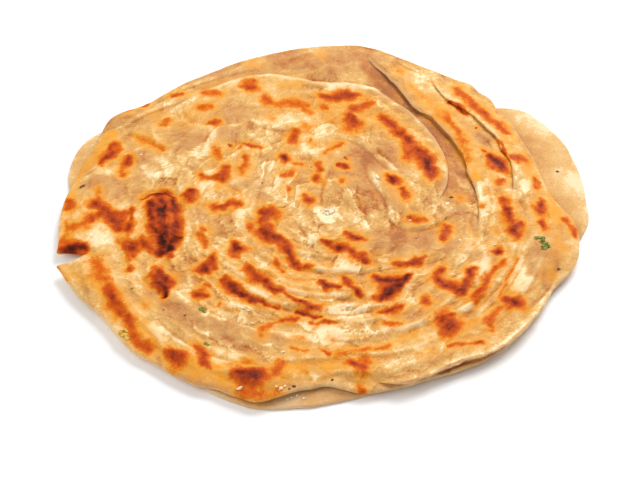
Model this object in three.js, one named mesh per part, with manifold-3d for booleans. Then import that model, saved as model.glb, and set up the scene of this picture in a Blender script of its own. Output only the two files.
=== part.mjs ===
// A lachha paratha: a coiled, flattened and pan-fried layered flatbread, lying on its flat
// underside.  The bread is one solid.  A thin lower leaf shows past the main disc as a lobe on
// the right, a sliver on the left and a strip along the front; the main disc carries a coil of
// thin steps, a deep fold across its upper right and a short tear in its left rim.
// Millimetres, +Z up, origin at the middle of the underside's bounding box.

import * as THREE from "three";
import { mergeVertices } from "three/addons/utils/BufferGeometryUtils.js";
import Module from "manifold-3d";

const SECTORS = 100;              // steps round the bread
const DISC_RINGS = 33;            // steps from the coil's middle to the main disc's rim
const LEAF_RINGS = 9;             // steps across the lower leaf

const DISC_THICKNESS = 5.2;       // main disc between its leaf edges
const DISC_BASE = 1.1;            // height of the main disc's underside, sunk in the lower leaf
const DISC_RIM_ROUND = 0.022;     // share of the radius taken by the rolled rim
const LEAF_THICKNESS = 2.3;       // lower leaf
const LEAF_RIM_ROUND = 0.016;
const LEAF_SHIFT = 3.2;           // the lower leaf lies this much further back than the disc

const RIM_LIFT = 0.9;             // the rim bakes a little thicker than the middle
const RIM_LIFT_START = 0.72;      // share of the radius where the thickening starts
const COIL_PITCH = 17.5;          // radial distance between two turns of the coil
const COIL_STEP = 1.1;            // height of one turn's edge above the next
const COIL_CENTRE = [1.5, 1.0];   // eye of the coil
const COIL_START = 9;             // radius where the first turn rises
const SAG = 0.5;                  // slow unevenness of the whole top
const STEP_SOFTNESS = 1.3;        // distance over which a leaf edge drops

const TEAR = { mouth: [-106, -17.2], tip: [-89.5, -18.2], halfWidth: 1.9 };

// Outlines: [angle in degrees, distance from the bread's middle in mm], anticlockwise from +X.
const DISC_OUTLINE = [
  [0, 104.8], [6, 100.2], [12, 97], [22, 97.9], [31, 99.8], [38, 101.8], [44, 104.6],
  [54, 105.4], [63, 104.6], [70, 106], [79, 108.4], [90, 106.2], [102, 103.2], [114, 101.5],
  [126, 100.4], [138, 101.6], [146, 106.2], [153, 103.2], [164, 101.6], [174, 102.6],
  [189, 103.6], [197, 101.4], [209, 95.2], [222, 94], [235, 92.2], [246, 90],
  [257, 91], [264, 85.6], [273, 81], [282, 86], [289, 87], [298, 88.4], [306, 91],
  [316, 95.2], [327, 97], [340, 98.8], [348, 104.8], [354, 105.4],
];
const LEAF_OUTLINE = [
  [0, 110.2], [12, 112.6], [24, 113.8], [33, 112.4], [38, 108.4], [42, 101.2], [50, 99.8],
  [66, 99.8], [84, 101.6], [102, 97.6], [120, 97], [138, 98.4], [149, 104.2], [157, 108],
  [165, 106], [176, 101], [190, 100.4], [204, 96.8], [216, 94.4], [230, 93.4],
  [243, 93], [256, 94.6], [264, 92.6], [275, 89.6], [288, 88.2], [298, 89.6], [308, 93.6],
  [316, 95.6], [330, 96.2], [342, 97.4], [352, 103],
];

// Leaf edges on the main disc: points along each edge, the height that the outer side stands
// above the inner side, and the width over which each side runs back to the common level.
const LEAF_EDGES = [
  {
    name: "outer fold",
    points: [[24, 97], [33, 83], [43, 66], [54, 54], [61, 41], [64, 27], [67, 8]],
    outerLift: 1.5, innerDrop: 1.9, outerWidth: 12, innerWidth: 9,
  },
  {
    name: "middle disc",
    points: [[0, 80], [19, 79], [30, 71], [45, 55.5], [52.5, 38], [53.5, 24], [50, 12]],
    outerLift: -0.9, innerDrop: -0.9, outerWidth: 5, innerWidth: 12,
  },
  {
    name: "second fold",
    points: [[45, 90], [53, 77], [65, 63.5], [75, 48.5], [81, 34], [81.5, 18]],
    outerLift: 0.7, innerDrop: 0.9, outerWidth: 8, innerWidth: 5,
  },
  {
    name: "lower left leaf",
    points: [[-77, -10], [-70, -23.5], [-59, -37], [-42, -51.5], [-27, -58], [-12, -62]],
    outerLift: -0.9, innerDrop: -0.9, outerWidth: 6, innerWidth: 12,
  },
  {
    name: "inner curl",
    points: [[20, 30], [28.5, 14], [30, 3], [38, -4], [50, -1]],
    outerLift: -0.6, innerDrop: -0.6, outerWidth: 6, innerWidth: 9,
  },
];

// Blisters: middle, half sizes along and across, turn in degrees, height.
const BLISTERS = [
  { at: [-63, 1], half: [18, 8.5], turn: 112, height: 1.6 },
  { at: [-24, -76], half: [14, 9], turn: 12, height: 1.2 },
  { at: [16, -72], half: [11, 8], turn: 0, height: 0.8 },
  { at: [-38, 68], half: [26, 13], turn: 35, height: 0.7 },
  { at: [2, 94], half: [24, 8], turn: 0, height: 0.9 },
  { at: [92, -12], half: [16, 9], turn: 80, height: 0.9 },
  { at: [34, -11], half: [16, 6.5], turn: -14, height: 0.7 },
];

const FULL_TURN = Math.PI * 2;
const radians = THREE.MathUtils.degToRad;

/** Radius of a closed outline at an angle, by a smooth curve through its stations. */
function radiusAt(outline, angle) {
  const degrees = THREE.MathUtils.euclideanModulo(THREE.MathUtils.radToDeg(angle), 360);
  const count = outline.length;
  let index = outline.findLastIndex(([station]) => station <= degrees);
  const station = (k) => {
    const wrapped = THREE.MathUtils.euclideanModulo(k, count);
    return [outline[wrapped][0] + 360 * Math.floor(k / count), outline[wrapped][1]];
  };
  const [a0, r0] = station(index - 1);
  const [a1, r1] = station(index);
  const [a2, r2] = station(index + 1);
  const [a3, r3] = station(index + 2);
  const span = a2 - a1;
  const slope1 = ((r2 - r0) / (a2 - a0)) * span;
  const slope2 = ((r3 - r1) / (a3 - a1)) * span;
  const t = (degrees - a1) / span;
  const t2 = t * t;
  const t3 = t2 * t;
  return (2 * t3 - 3 * t2 + 1) * r1 + (t3 - 2 * t2 + t) * slope1
    + (3 * t2 - 2 * t3) * r2 + (t3 - t2) * slope2;
}

/** Signed distance to an open line of points (positive away from the middle), and the share
 *  of the line's length at the nearest place. */
function nearestOnEdge(points, x, y) {
  let best = Infinity;
  let signed = 0;
  let share = 0;
  const last = points.length - 1;
  for (let k = 0; k < last; k += 1) {
    const [ax, ay] = points[k];
    const [bx, by] = points[k + 1];
    const dx = bx - ax;
    const dy = by - ay;
    const along = THREE.MathUtils.clamp(
      ((x - ax) * dx + (y - ay) * dy) / (dx * dx + dy * dy), 0, 1);
    const gapX = x - ax - along * dx;
    const gapY = y - ay - along * dy;
    const distance = Math.hypot(gapX, gapY);
    if (distance < best) {
      const outward = Math.sign(gapX * (ax + along * dx) + gapY * (ay + along * dy)) || 1;
      best = distance;
      signed = outward * distance;
      share = (k + along) / last;
    }
  }
  return { signed, share };
}

/** Height that one leaf edge adds at a point of the top. */
function edgeRelief(edge, x, y) {
  const { signed, share } = nearestOnEdge(edge.points, x, y);
  const ends = Math.sin(Math.PI * THREE.MathUtils.clamp(share, 0.0, 1.0)) ** 0.5;
  const raised = edge.outerLift * Math.exp(-Math.max(signed, 0) / edge.outerWidth);
  const sunk = -edge.innerDrop * Math.exp(-Math.max(-signed, 0) / edge.innerWidth);
  const side = THREE.MathUtils.smoothstep(signed, -STEP_SOFTNESS, STEP_SOFTNESS);
  return ends * THREE.MathUtils.lerp(sunk, raised, side);
}

/** Height that the coil adds: each turn ramps up outwards and drops at its edge. */
function coilRelief(x, y) {
  const dx = x - COIL_CENTRE[0];
  const dy = y - COIL_CENTRE[1];
  const radius = Math.hypot(dx, dy);
  const turn = Math.atan2(dy, dx) / FULL_TURN;
  const wobble = 1.6 * Math.sin(3 * turn * FULL_TURN + 0.6) + 1.1 * Math.sin(5 * turn * FULL_TURN);
  const phase = THREE.MathUtils.euclideanModulo((radius + wobble) / COIL_PITCH - turn, 1);
  const ramp = phase < 0.8 ? phase / 0.8 : (1 - phase) / 0.2;
  return COIL_STEP * (ramp - 0.5) * THREE.MathUtils.smoothstep(radius, COIL_START, 2 * COIL_START);
}

/** Height that one blister adds: a soft dome over a turned ellipse. */
function blisterRelief(blister, x, y) {
  const angle = radians(blister.turn);
  const dx = x - blister.at[0];
  const dy = y - blister.at[1];
  const along = (dx * Math.cos(angle) + dy * Math.sin(angle)) / blister.half[0];
  const across = (dy * Math.cos(angle) - dx * Math.sin(angle)) / blister.half[1];
  const reach = THREE.MathUtils.clamp(1 - along * along - across * across, 0, 1);
  return blister.height * reach * (2 - reach);
}

/** Height of the main disc's top at a point, where share is its distance out of the radius. */
function discTop(x, y, share) {
  const rim = RIM_LIFT * THREE.MathUtils.smoothstep(share, RIM_LIFT_START, 0.97);
  const sag = SAG * Math.sin(x / 31 + 0.8) * Math.cos(y / 27 - 0.5);
  const edges = LEAF_EDGES.reduce((sum, edge) => sum + edgeRelief(edge, x, y), 0);
  const blisters = BLISTERS.reduce((sum, blister) => sum + blisterRelief(blister, x, y), 0);
  return DISC_BASE + DISC_THICKNESS + rim + sag + coilRelief(x, y) + edges + blisters;
}

/** Height of the lower leaf's top: it thins a little towards its edge. */
function leafTop(x, y, share) {
  const thin = 0.5 * THREE.MathUtils.smoothstep(share, 0.9, 1);
  const wave = 0.25 * Math.sin(x / 9 + 1) * Math.cos(y / 11);
  return LEAF_THICKNESS - thin + wave;
}

/** Closed round body: a lathed section stretched to an outline, its top raised by a function. */
function layeredBody({ outline, rings, base, round, topHeight }) {
  const section = [];
  for (let ring = 0; ring <= rings; ring += 1) {
    section.push(new THREE.Vector2(((1 - round) * ring) / rings, 1));
  }
  for (const angle of [60, 25, 0]) {
    const lean = radians(angle);
    section.push(new THREE.Vector2(1 - round + round * Math.cos(lean), 0.5 + 0.5 * Math.sin(lean)));
  }
  section.push(new THREE.Vector2(1 - round * 0.6, 0));
  section.push(new THREE.Vector2(0, 0));
  const lathe = new THREE.LatheGeometry(section.reverse(), SECTORS).rotateX(Math.PI / 2);
  const positions = lathe.getAttribute("position");
  for (let k = 0; k < positions.count; k += 1) {
    const across = positions.getX(k);
    const depth = positions.getY(k);
    const share = Math.hypot(across, depth);
    const angle = Math.atan2(depth, across);
    const reach = share * radiusAt(outline, angle);
    const x = reach * Math.cos(angle);
    const y = reach * Math.sin(angle);
    const top = topHeight(x, y, Math.min(share, 1));
    positions.setXYZ(k, x, y, base + positions.getZ(k) * (top - base));
  }
  return lathe;
}

/** Plain closed index list of a geometry: positions only, shared and with no empty triangles. */
function weld(geometry) {
  const bare = geometry.clone();
  bare.deleteAttribute("normal");
  bare.deleteAttribute("uv");
  const merged = mergeVertices(bare, 1e-3);
  const source = Array.from(merged.getIndex().array);
  const kept = [];
  for (let k = 0; k < source.length; k += 3) {
    const [a, b, c] = source.slice(k, k + 3);
    if (a !== b && b !== c && c !== a) {
      kept.push(a, b, c);
    }
  }
  merged.setIndex(kept);
  return merged;
}

const wasm = await Module();
wasm.setup();

/** Solid of a closed geometry. */
function toSolid(geometry) {
  const welded = weld(geometry);
  return new wasm.Manifold(new wasm.Mesh({
    numProp: 3,
    vertProperties: Float32Array.from(welded.getAttribute("position").array),
    triVerts: Uint32Array.from(welded.getIndex().array),
  }));
}

/** Geometry of a solid, with flat facets. */
function toGeometry(solid) {
  const mesh = solid.getMesh();
  const geometry = new THREE.BufferGeometry();
  geometry.setAttribute("position", new THREE.BufferAttribute(mesh.vertProperties, 3));
  geometry.setIndex(new THREE.BufferAttribute(mesh.triVerts, 1));
  return geometry;
}

/** Pointed cut through the left rim, widest at its mouth. */
function tearCut({ mouth, tip, halfWidth }) {
  const wedge = new THREE.Shape();
  wedge.moveTo(tip[0], tip[1]);
  wedge.quadraticCurveTo((mouth[0] + tip[0]) / 2, tip[1] + halfWidth * 1.4, mouth[0],
    mouth[1] + halfWidth * 0.8);
  wedge.lineTo(mouth[0], mouth[1] - halfWidth * 0.8);
  wedge.quadraticCurveTo((mouth[0] + tip[0]) / 2, mouth[1] - halfWidth * 1.5, tip[0], tip[1]);
  return new THREE.ExtrudeGeometry(wedge, { depth: 20, bevelEnabled: false, curveSegments: 5 })
    .translate(0, 0, -5);
}

const disc = toSolid(layeredBody({
  outline: DISC_OUTLINE, rings: DISC_RINGS, base: DISC_BASE, round: DISC_RIM_ROUND,
  topHeight: discTop,
}));
const leaf = toSolid(layeredBody({
  outline: LEAF_OUTLINE, rings: LEAF_RINGS, base: 0, round: LEAF_RIM_ROUND,
  topHeight: leafTop,
}).translate(0, LEAF_SHIFT, 0));
const bread = toGeometry(disc.add(leaf).subtract(toSolid(tearCut(TEAR))));
bread.computeBoundingBox();
const middle = bread.boundingBox.getCenter(new THREE.Vector3());
bread.translate(-middle.x, -middle.y, -bread.boundingBox.min.z);

const crust = new THREE.MeshStandardMaterial({ color: 0xe6ad62, roughness: 0.55, metalness: 0 });
crust.name = "fried wheat crust";

const paratha = new THREE.Mesh(bread, crust);
paratha.name = "paratha";

const group = new THREE.Group();
group.name = "lachha_paratha";
group.add(paratha);

export default group;
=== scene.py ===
import logging
import math
from abc import ABC, abstractmethod
from collections.abc import Iterable
from dataclasses import dataclass
from enum import Enum

import bmesh
import bpy
import numpy as np
from mathutils import Euler, Matrix, Vector
from mathutils.bvhtree import BVHTree


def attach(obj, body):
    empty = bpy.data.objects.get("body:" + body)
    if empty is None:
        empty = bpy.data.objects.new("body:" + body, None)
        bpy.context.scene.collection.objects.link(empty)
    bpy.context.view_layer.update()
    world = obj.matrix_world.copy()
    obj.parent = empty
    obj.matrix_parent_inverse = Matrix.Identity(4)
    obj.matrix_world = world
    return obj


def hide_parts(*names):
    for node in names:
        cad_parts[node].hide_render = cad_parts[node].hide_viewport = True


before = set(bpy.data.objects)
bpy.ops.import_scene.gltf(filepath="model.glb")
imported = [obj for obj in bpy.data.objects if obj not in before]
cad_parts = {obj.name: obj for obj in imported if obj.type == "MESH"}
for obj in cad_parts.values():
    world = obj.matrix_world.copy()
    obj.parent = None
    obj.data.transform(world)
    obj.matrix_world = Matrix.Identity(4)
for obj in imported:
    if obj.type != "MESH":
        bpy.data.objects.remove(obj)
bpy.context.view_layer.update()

MM = 0.001                     # metres in a millimetre
PLAN_MIDDLE = (3.958, 8.971)   # mm from the plan's zero to the middle of the bread's box
TAU = 2.0 * math.pi
FAR = 1e9                      # mm, further than anything on the bread
TINY = 1e-9                    # mm, keeps a division from failing

Field = np.ndarray
Point = tuple[float, float]

log = logging.getLogger("paratha")


# ------------------------------------------------------------------ plan of the bread, in mm

# Outlines as (degrees from +X, distance from the plan's zero), anticlockwise.
DISC_STATIONS = (
    (0, 104.8), (6, 100.2), (12, 97.0), (22, 97.9), (31, 99.8), (36, 101.4), (39.5, 101.4),
    (44, 104.8), (48, 105.2), (51, 106.6), (55, 105.0), (63, 104.6), (70, 106.0), (79, 108.5),
    (85, 107.6), (90, 106.3), (96, 105.0), (102, 103.3), (108, 102.7), (114, 101.5), (126, 100.5),
    (134, 100.4), (138, 101.6), (142, 104.8), (145.5, 106.4), (150, 104.6), (156, 102.9),
    (164, 101.6), (174, 102.6), (184, 102.6), (188.2, 103.4), (190.5, 105.0), (194, 102.8),
    (199, 100.6), (204, 98.0), (209, 95.2), (215, 94.2), (222, 94.2), (229, 92.6), (235, 92.2),
    (241, 91.8), (246, 90.0), (252, 90.8), (257, 91.0), (261, 87.6), (264, 85.2), (268, 82.6),
    (273, 81.0), (278, 83.4), (282, 86.0), (289, 87.0), (298, 88.4), (306, 91.0), (316, 95.2),
    (327, 97.0), (334, 97.8), (340, 98.8), (344, 101.8), (348, 104.8), (354, 105.4),
)
LEAF_STATIONS = (
    (0, 110.2), (6, 111.4), (12, 112.6), (18, 113.4), (24, 113.8), (29, 113.4), (33, 112.2),
    (36, 110.4), (39, 106.2), (42, 100.8), (50, 99.8), (66, 99.8), (84, 101.6), (102, 97.6),
    (120, 97.0), (138, 98.4), (148, 103.4), (152.5, 106.6), (157, 108.0), (161, 107.4),
    (166, 105.2), (174, 99.0), (183, 90.0), (190, 86.0), (197, 90.0), (205, 95.4), (216, 94.4),
    (230, 93.4), (243, 93.0), (256, 94.6), (264, 92.6), (275, 89.6), (288, 88.2), (298, 89.6),
    (308, 93.6), (316, 95.6), (330, 96.2), (342, 97.4), (352, 103.0),
)

TEAR_ANGLE = 190.4             # degrees to the short tear in the left rim
TEAR_DEPTH = 13.0
TEAR_HALF_ANGLE = 2.2


class Side(Enum):
    """Which side of a leaf edge stands higher, seen along the order of its points."""

    LEFT = 1.0
    RIGHT = -1.0


def smoothstep(low: float, high: float, value: Field) -> Field:
    """Ease from 0 at low to 1 at high.

    Args:
        low: value where the ramp starts.
        high: value where it ends.
        value: numbers to ease.

    Returns:
        Numbers from 0 to 1.
    """
    share = np.clip((value - low) / (high - low), 0.0, 1.0)
    return share * share * (3.0 - 2.0 * share)


@dataclass(frozen=True)
class Ripple:
    """Smooth random field from -1 to 1 that repeats every `cells` cells."""

    seed: int
    cells: int = 64
    shift: float = 7.3

    def at(self, u: Field, v: Field) -> Field:
        """Value of the field.

        Args:
            u: first place in cells.
            v: second place in cells.

        Returns:
            Numbers from -1 to 1.
        """
        lattice = np.random.default_rng(self.seed).uniform(-1.0, 1.0, (self.cells, self.cells))
        left = np.floor(u).astype(int)
        low = np.floor(v).astype(int)
        ease_u = smoothstep(0.0, 1.0, u - left)
        ease_v = smoothstep(0.0, 1.0, v - low)
        i0 = left % self.cells
        i1 = (left + 1) % self.cells
        j0 = low % self.cells
        j1 = (low + 1) % self.cells
        near = lattice[i0, j0] * (1 - ease_u) + lattice[i1, j0] * ease_u
        far = lattice[i0, j1] * (1 - ease_u) + lattice[i1, j1] * ease_u
        return near * (1 - ease_v) + far * ease_v

    def layered(self, u: Field, v: Field, octaves: int = 3) -> Field:
        """Sum of the field at doubling fineness and halving strength.

        Args:
            u: first place in cells.
            v: second place in cells.
            octaves: how many layers.

        Returns:
            Numbers of about -1 to 1.
        """
        total = np.zeros_like(u)
        for octave in range(octaves):
            scale = 2.0 ** octave
            total = total + 0.5 ** octave * self.at(u * scale + self.shift * octave, v * scale)
        return total

    def over(self, x: Field, y: Field, size: float, octaves: int = 1) -> Field:
        """The layered field over the plan, in cells of `size` mm."""
        return self.layered(x / size, y / size, octaves)


def smooth_line(points: tuple[Point, ...], spacing: float) -> Field:
    """Smooth line through given points (Catmull-Rom).

    Args:
        points: the points, in mm.
        spacing: wanted distance between the results.

    Returns:
        Array of x, y rows.
    """
    p = np.array(points, dtype=float)
    if len(p) == 1:
        return p
    padded = np.vstack([2 * p[0] - p[1], p, 2 * p[-1] - p[-2]])
    rows = []
    for k in range(1, len(padded) - 2):
        a, b, c, d = padded[k - 1:k + 3]
        count = max(2, int(np.linalg.norm(c - b) / spacing) + 1)
        for t in np.arange(count) / count:
            rows.append(0.5 * (2 * b + (c - a) * t + (2 * a - 5 * b + 4 * c - d) * t ** 2
                               + (3 * b - a - 3 * c + d) * t ** 3))
    rows.append(p[-1])
    return np.array(rows)


def nearest_on(line: Field, x: Field, y: Field) -> tuple[Field, Field]:
    """Signed distance to a line (positive on its left) and share of its length.

    Args:
        line: x, y rows.
        x: places in mm.
        y: places in mm.

    Returns:
        Signed distances and shares from 0 to 1.
    """
    best = np.full(x.shape, FAR)
    signed = np.full(x.shape, FAR)
    share = np.zeros(x.shape)
    last = max(len(line) - 1, 1)
    if len(line) == 1:
        return np.hypot(x - line[0, 0], y - line[0, 1]), share
    for k in range(last):
        ax, ay = line[k]
        dx, dy = line[k + 1] - line[k]
        along = np.clip(((x - ax) * dx + (y - ay) * dy) / (dx * dx + dy * dy), 0.0, 1.0)
        gap_x = x - ax - along * dx
        gap_y = y - ay - along * dy
        distance = np.hypot(gap_x, gap_y)
        closer = distance < best
        left = np.where(dx * gap_y - dy * gap_x >= 0.0, 1.0, -1.0)
        best = np.where(closer, distance, best)
        signed = np.where(closer, left * distance, signed)
        share = np.where(closer, (k + along) / last, share)
    return signed, share


def close_to(line: Field, x: Field, y: Field, reach: float) -> Field:
    """Which places lie in the box round a line.

    Args:
        line: rows that start with x, y.
        x: places in mm.
        y: places in mm.
        reach: how far the box reaches past the line.

    Returns:
        True where a place is in the box.
    """
    left, low = line[:, :2].min(axis=0) - reach
    right, high = line[:, :2].max(axis=0) + reach
    return (x > left) & (x < right) & (y > low) & (y < high)


def in_oval(x: Field, y: Field, at: Point, half: Point, turn: float) -> tuple[Field, Field]:
    """Places seen from the middle of a turned oval.

    Args:
        x: places in mm.
        y: places in mm.
        at: the oval's middle.
        half: its half sizes.
        turn: its turn in degrees.

    Returns:
        Places along and across the oval, as shares of its half sizes.
    """
    angle = math.radians(turn)
    dx = x - at[0]
    dy = y - at[1]
    along = (dx * math.cos(angle) + dy * math.sin(angle)) / half[0]
    across = (dy * math.cos(angle) - dx * math.sin(angle)) / half[1]
    return along, across


def bumps_at(degrees: Field, bumps: tuple[tuple[float, float, float], ...]) -> Field:
    """Sum of round bumps along a rim.

    Args:
        degrees: where on the rim.
        bumps: middle in degrees, spread in degrees and height in mm of each.

    Returns:
        Heights in mm.
    """
    return sum(high * np.exp(-((degrees - at) / spread) ** 2) for at, spread, high in bumps)


@dataclass(frozen=True)
class Outline:
    """Closed outline given by its distance from the plan's zero at chosen angles."""

    stations: tuple[Point, ...]
    torn: bool
    ragged: float = 0.35
    rim_cells: float = 64.0

    def radius(self, angle: Field) -> Field:
        """Distance to the outline.

        Args:
            angle: angles in radians.

        Returns:
            Distances in mm.
        """
        knots = np.array(self.stations)
        a = np.concatenate([knots[-2:, 0] - 360, knots[:, 0], knots[:3, 0] + 360])
        r = np.concatenate([knots[-2:, 1], knots[:, 1], knots[:3, 1]])
        degrees = np.degrees(angle) % 360.0
        k = np.searchsorted(a, degrees, side="right") - 1
        k = np.clip(k, 1, len(a) - 3)
        span = a[k + 1] - a[k]
        t = (degrees - a[k]) / span
        slope_a = (r[k + 1] - r[k - 1]) / (a[k + 1] - a[k - 1]) * span
        slope_b = (r[k + 2] - r[k]) / (a[k + 2] - a[k]) * span
        radius = ((2 * t ** 3 - 3 * t ** 2 + 1) * r[k] + (t ** 3 - 2 * t ** 2 + t) * slope_a
                  + (3 * t ** 2 - 2 * t ** 3) * r[k + 1] + (t ** 3 - t ** 2) * slope_b)
        cells = (angle % TAU) / TAU * self.rim_cells
        radius = radius + self.ragged * Ripple(31).layered(cells, np.zeros_like(cells) + 3.3, 4)
        if self.torn:
            aside = np.abs((degrees - TEAR_ANGLE + 180.0) % 360.0 - 180.0)
            opening = np.clip(1.0 - aside / TEAR_HALF_ANGLE, 0.0, 1.0)
            radius = radius - TEAR_DEPTH * opening ** 0.55
        return radius


@dataclass(frozen=True)
class LeafEdge:
    """Free edge of one leaf of the coiled dough, lying on the leaf below it.

    The upper side stands `step` above the lower side and drops over `drop`; the height fades
    over `run_up` and `run_down`. The lip is the thin edge that reaches `overhang` past the
    line and `root` behind it. All are in mm.
    """

    name: str
    points: tuple[Point, ...]
    side: Side
    step: float
    run_up: float = 7.0
    run_down: float = 7.0
    overhang: float = 0.0
    root: float = 5.0
    thickness: float = 0.6
    ragged: float = 1.0
    drop: float = 1.1

    def seen_from(self, x: Field, y: Field, reach: float) -> tuple[Field, Field, Field]:
        """Places near the edge, seen from it.

        Args:
            x: places in mm.
            y: places in mm.
            reach: how far from the edge places still count.

        Returns:
            Which places are near, how far each of them is on the upper side in mm, and a
            strength that falls to 0 at the edge's ends.
        """
        line = smooth_line(self.points, 1.1)
        near = close_to(line, x, y, reach)
        signed, share = nearest_on(line, x[near], y[near])
        ends = np.sin(math.pi * np.clip(share, 0.0, 1.0)) ** 0.45
        return near, signed * self.side.value, ends

    def relief(self, x: Field, y: Field) -> Field:
        """Height that the edge adds to the top of the bread.

        Args:
            x: places in mm.
            y: places in mm.

        Returns:
            Heights in mm.
        """
        reach = 3.0 * max(self.run_up, self.run_down)
        near, upward, ends = self.seen_from(x, y, reach)
        past = np.exp(-np.maximum(np.abs(upward) - reach * 0.6, 0.0) / 3.0)
        high = 0.5 * self.step * np.exp(-np.maximum(upward, 0.0) / self.run_up)
        low = -0.5 * self.step * np.exp(-np.maximum(-upward, 0.0) / self.run_down)
        blend = smoothstep(-0.35 * self.drop, 0.7 * self.drop, upward)
        added = np.zeros_like(x)
        added[near] = ends * past * (low * (1 - blend) + high * blend)
        return added

    def shade(self, x: Field, y: Field) -> Field:
        """How the edge changes the paleness: a painted highlight on the lip, painted shade in the
        tan hollow below it and a dark line of painted shade in the crease.

        Args:
            x: places in mm.
            y: places in mm.

        Returns:
            Changes, positive where a highlight is painted and negative where shade is painted.
        """
        near, upward, ends = self.seen_from(x, y, 9.0)
        # painted highlight on the lip; painted shade in the hollow and in the crease below it
        lip = smoothstep(-0.5, 0.3, upward) * np.exp(-np.maximum(upward - 0.3, 0.0) / 1.5)
        hollow = smoothstep(-0.3, -1.0, upward) * np.exp(-np.maximum(-upward, 0.0) / 2.8)
        crease = np.exp(-((upward + 0.8) / 0.55) ** 2)
        sharp = ends / max(self.drop, 1.0)
        added = np.zeros_like(x)
        added[near] = sharp * (min(self.step, 1.5) * (0.55 * lip - 0.3 * hollow)
                               - 0.55 * min(self.step, 1.0) * crease)
        return added


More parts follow.
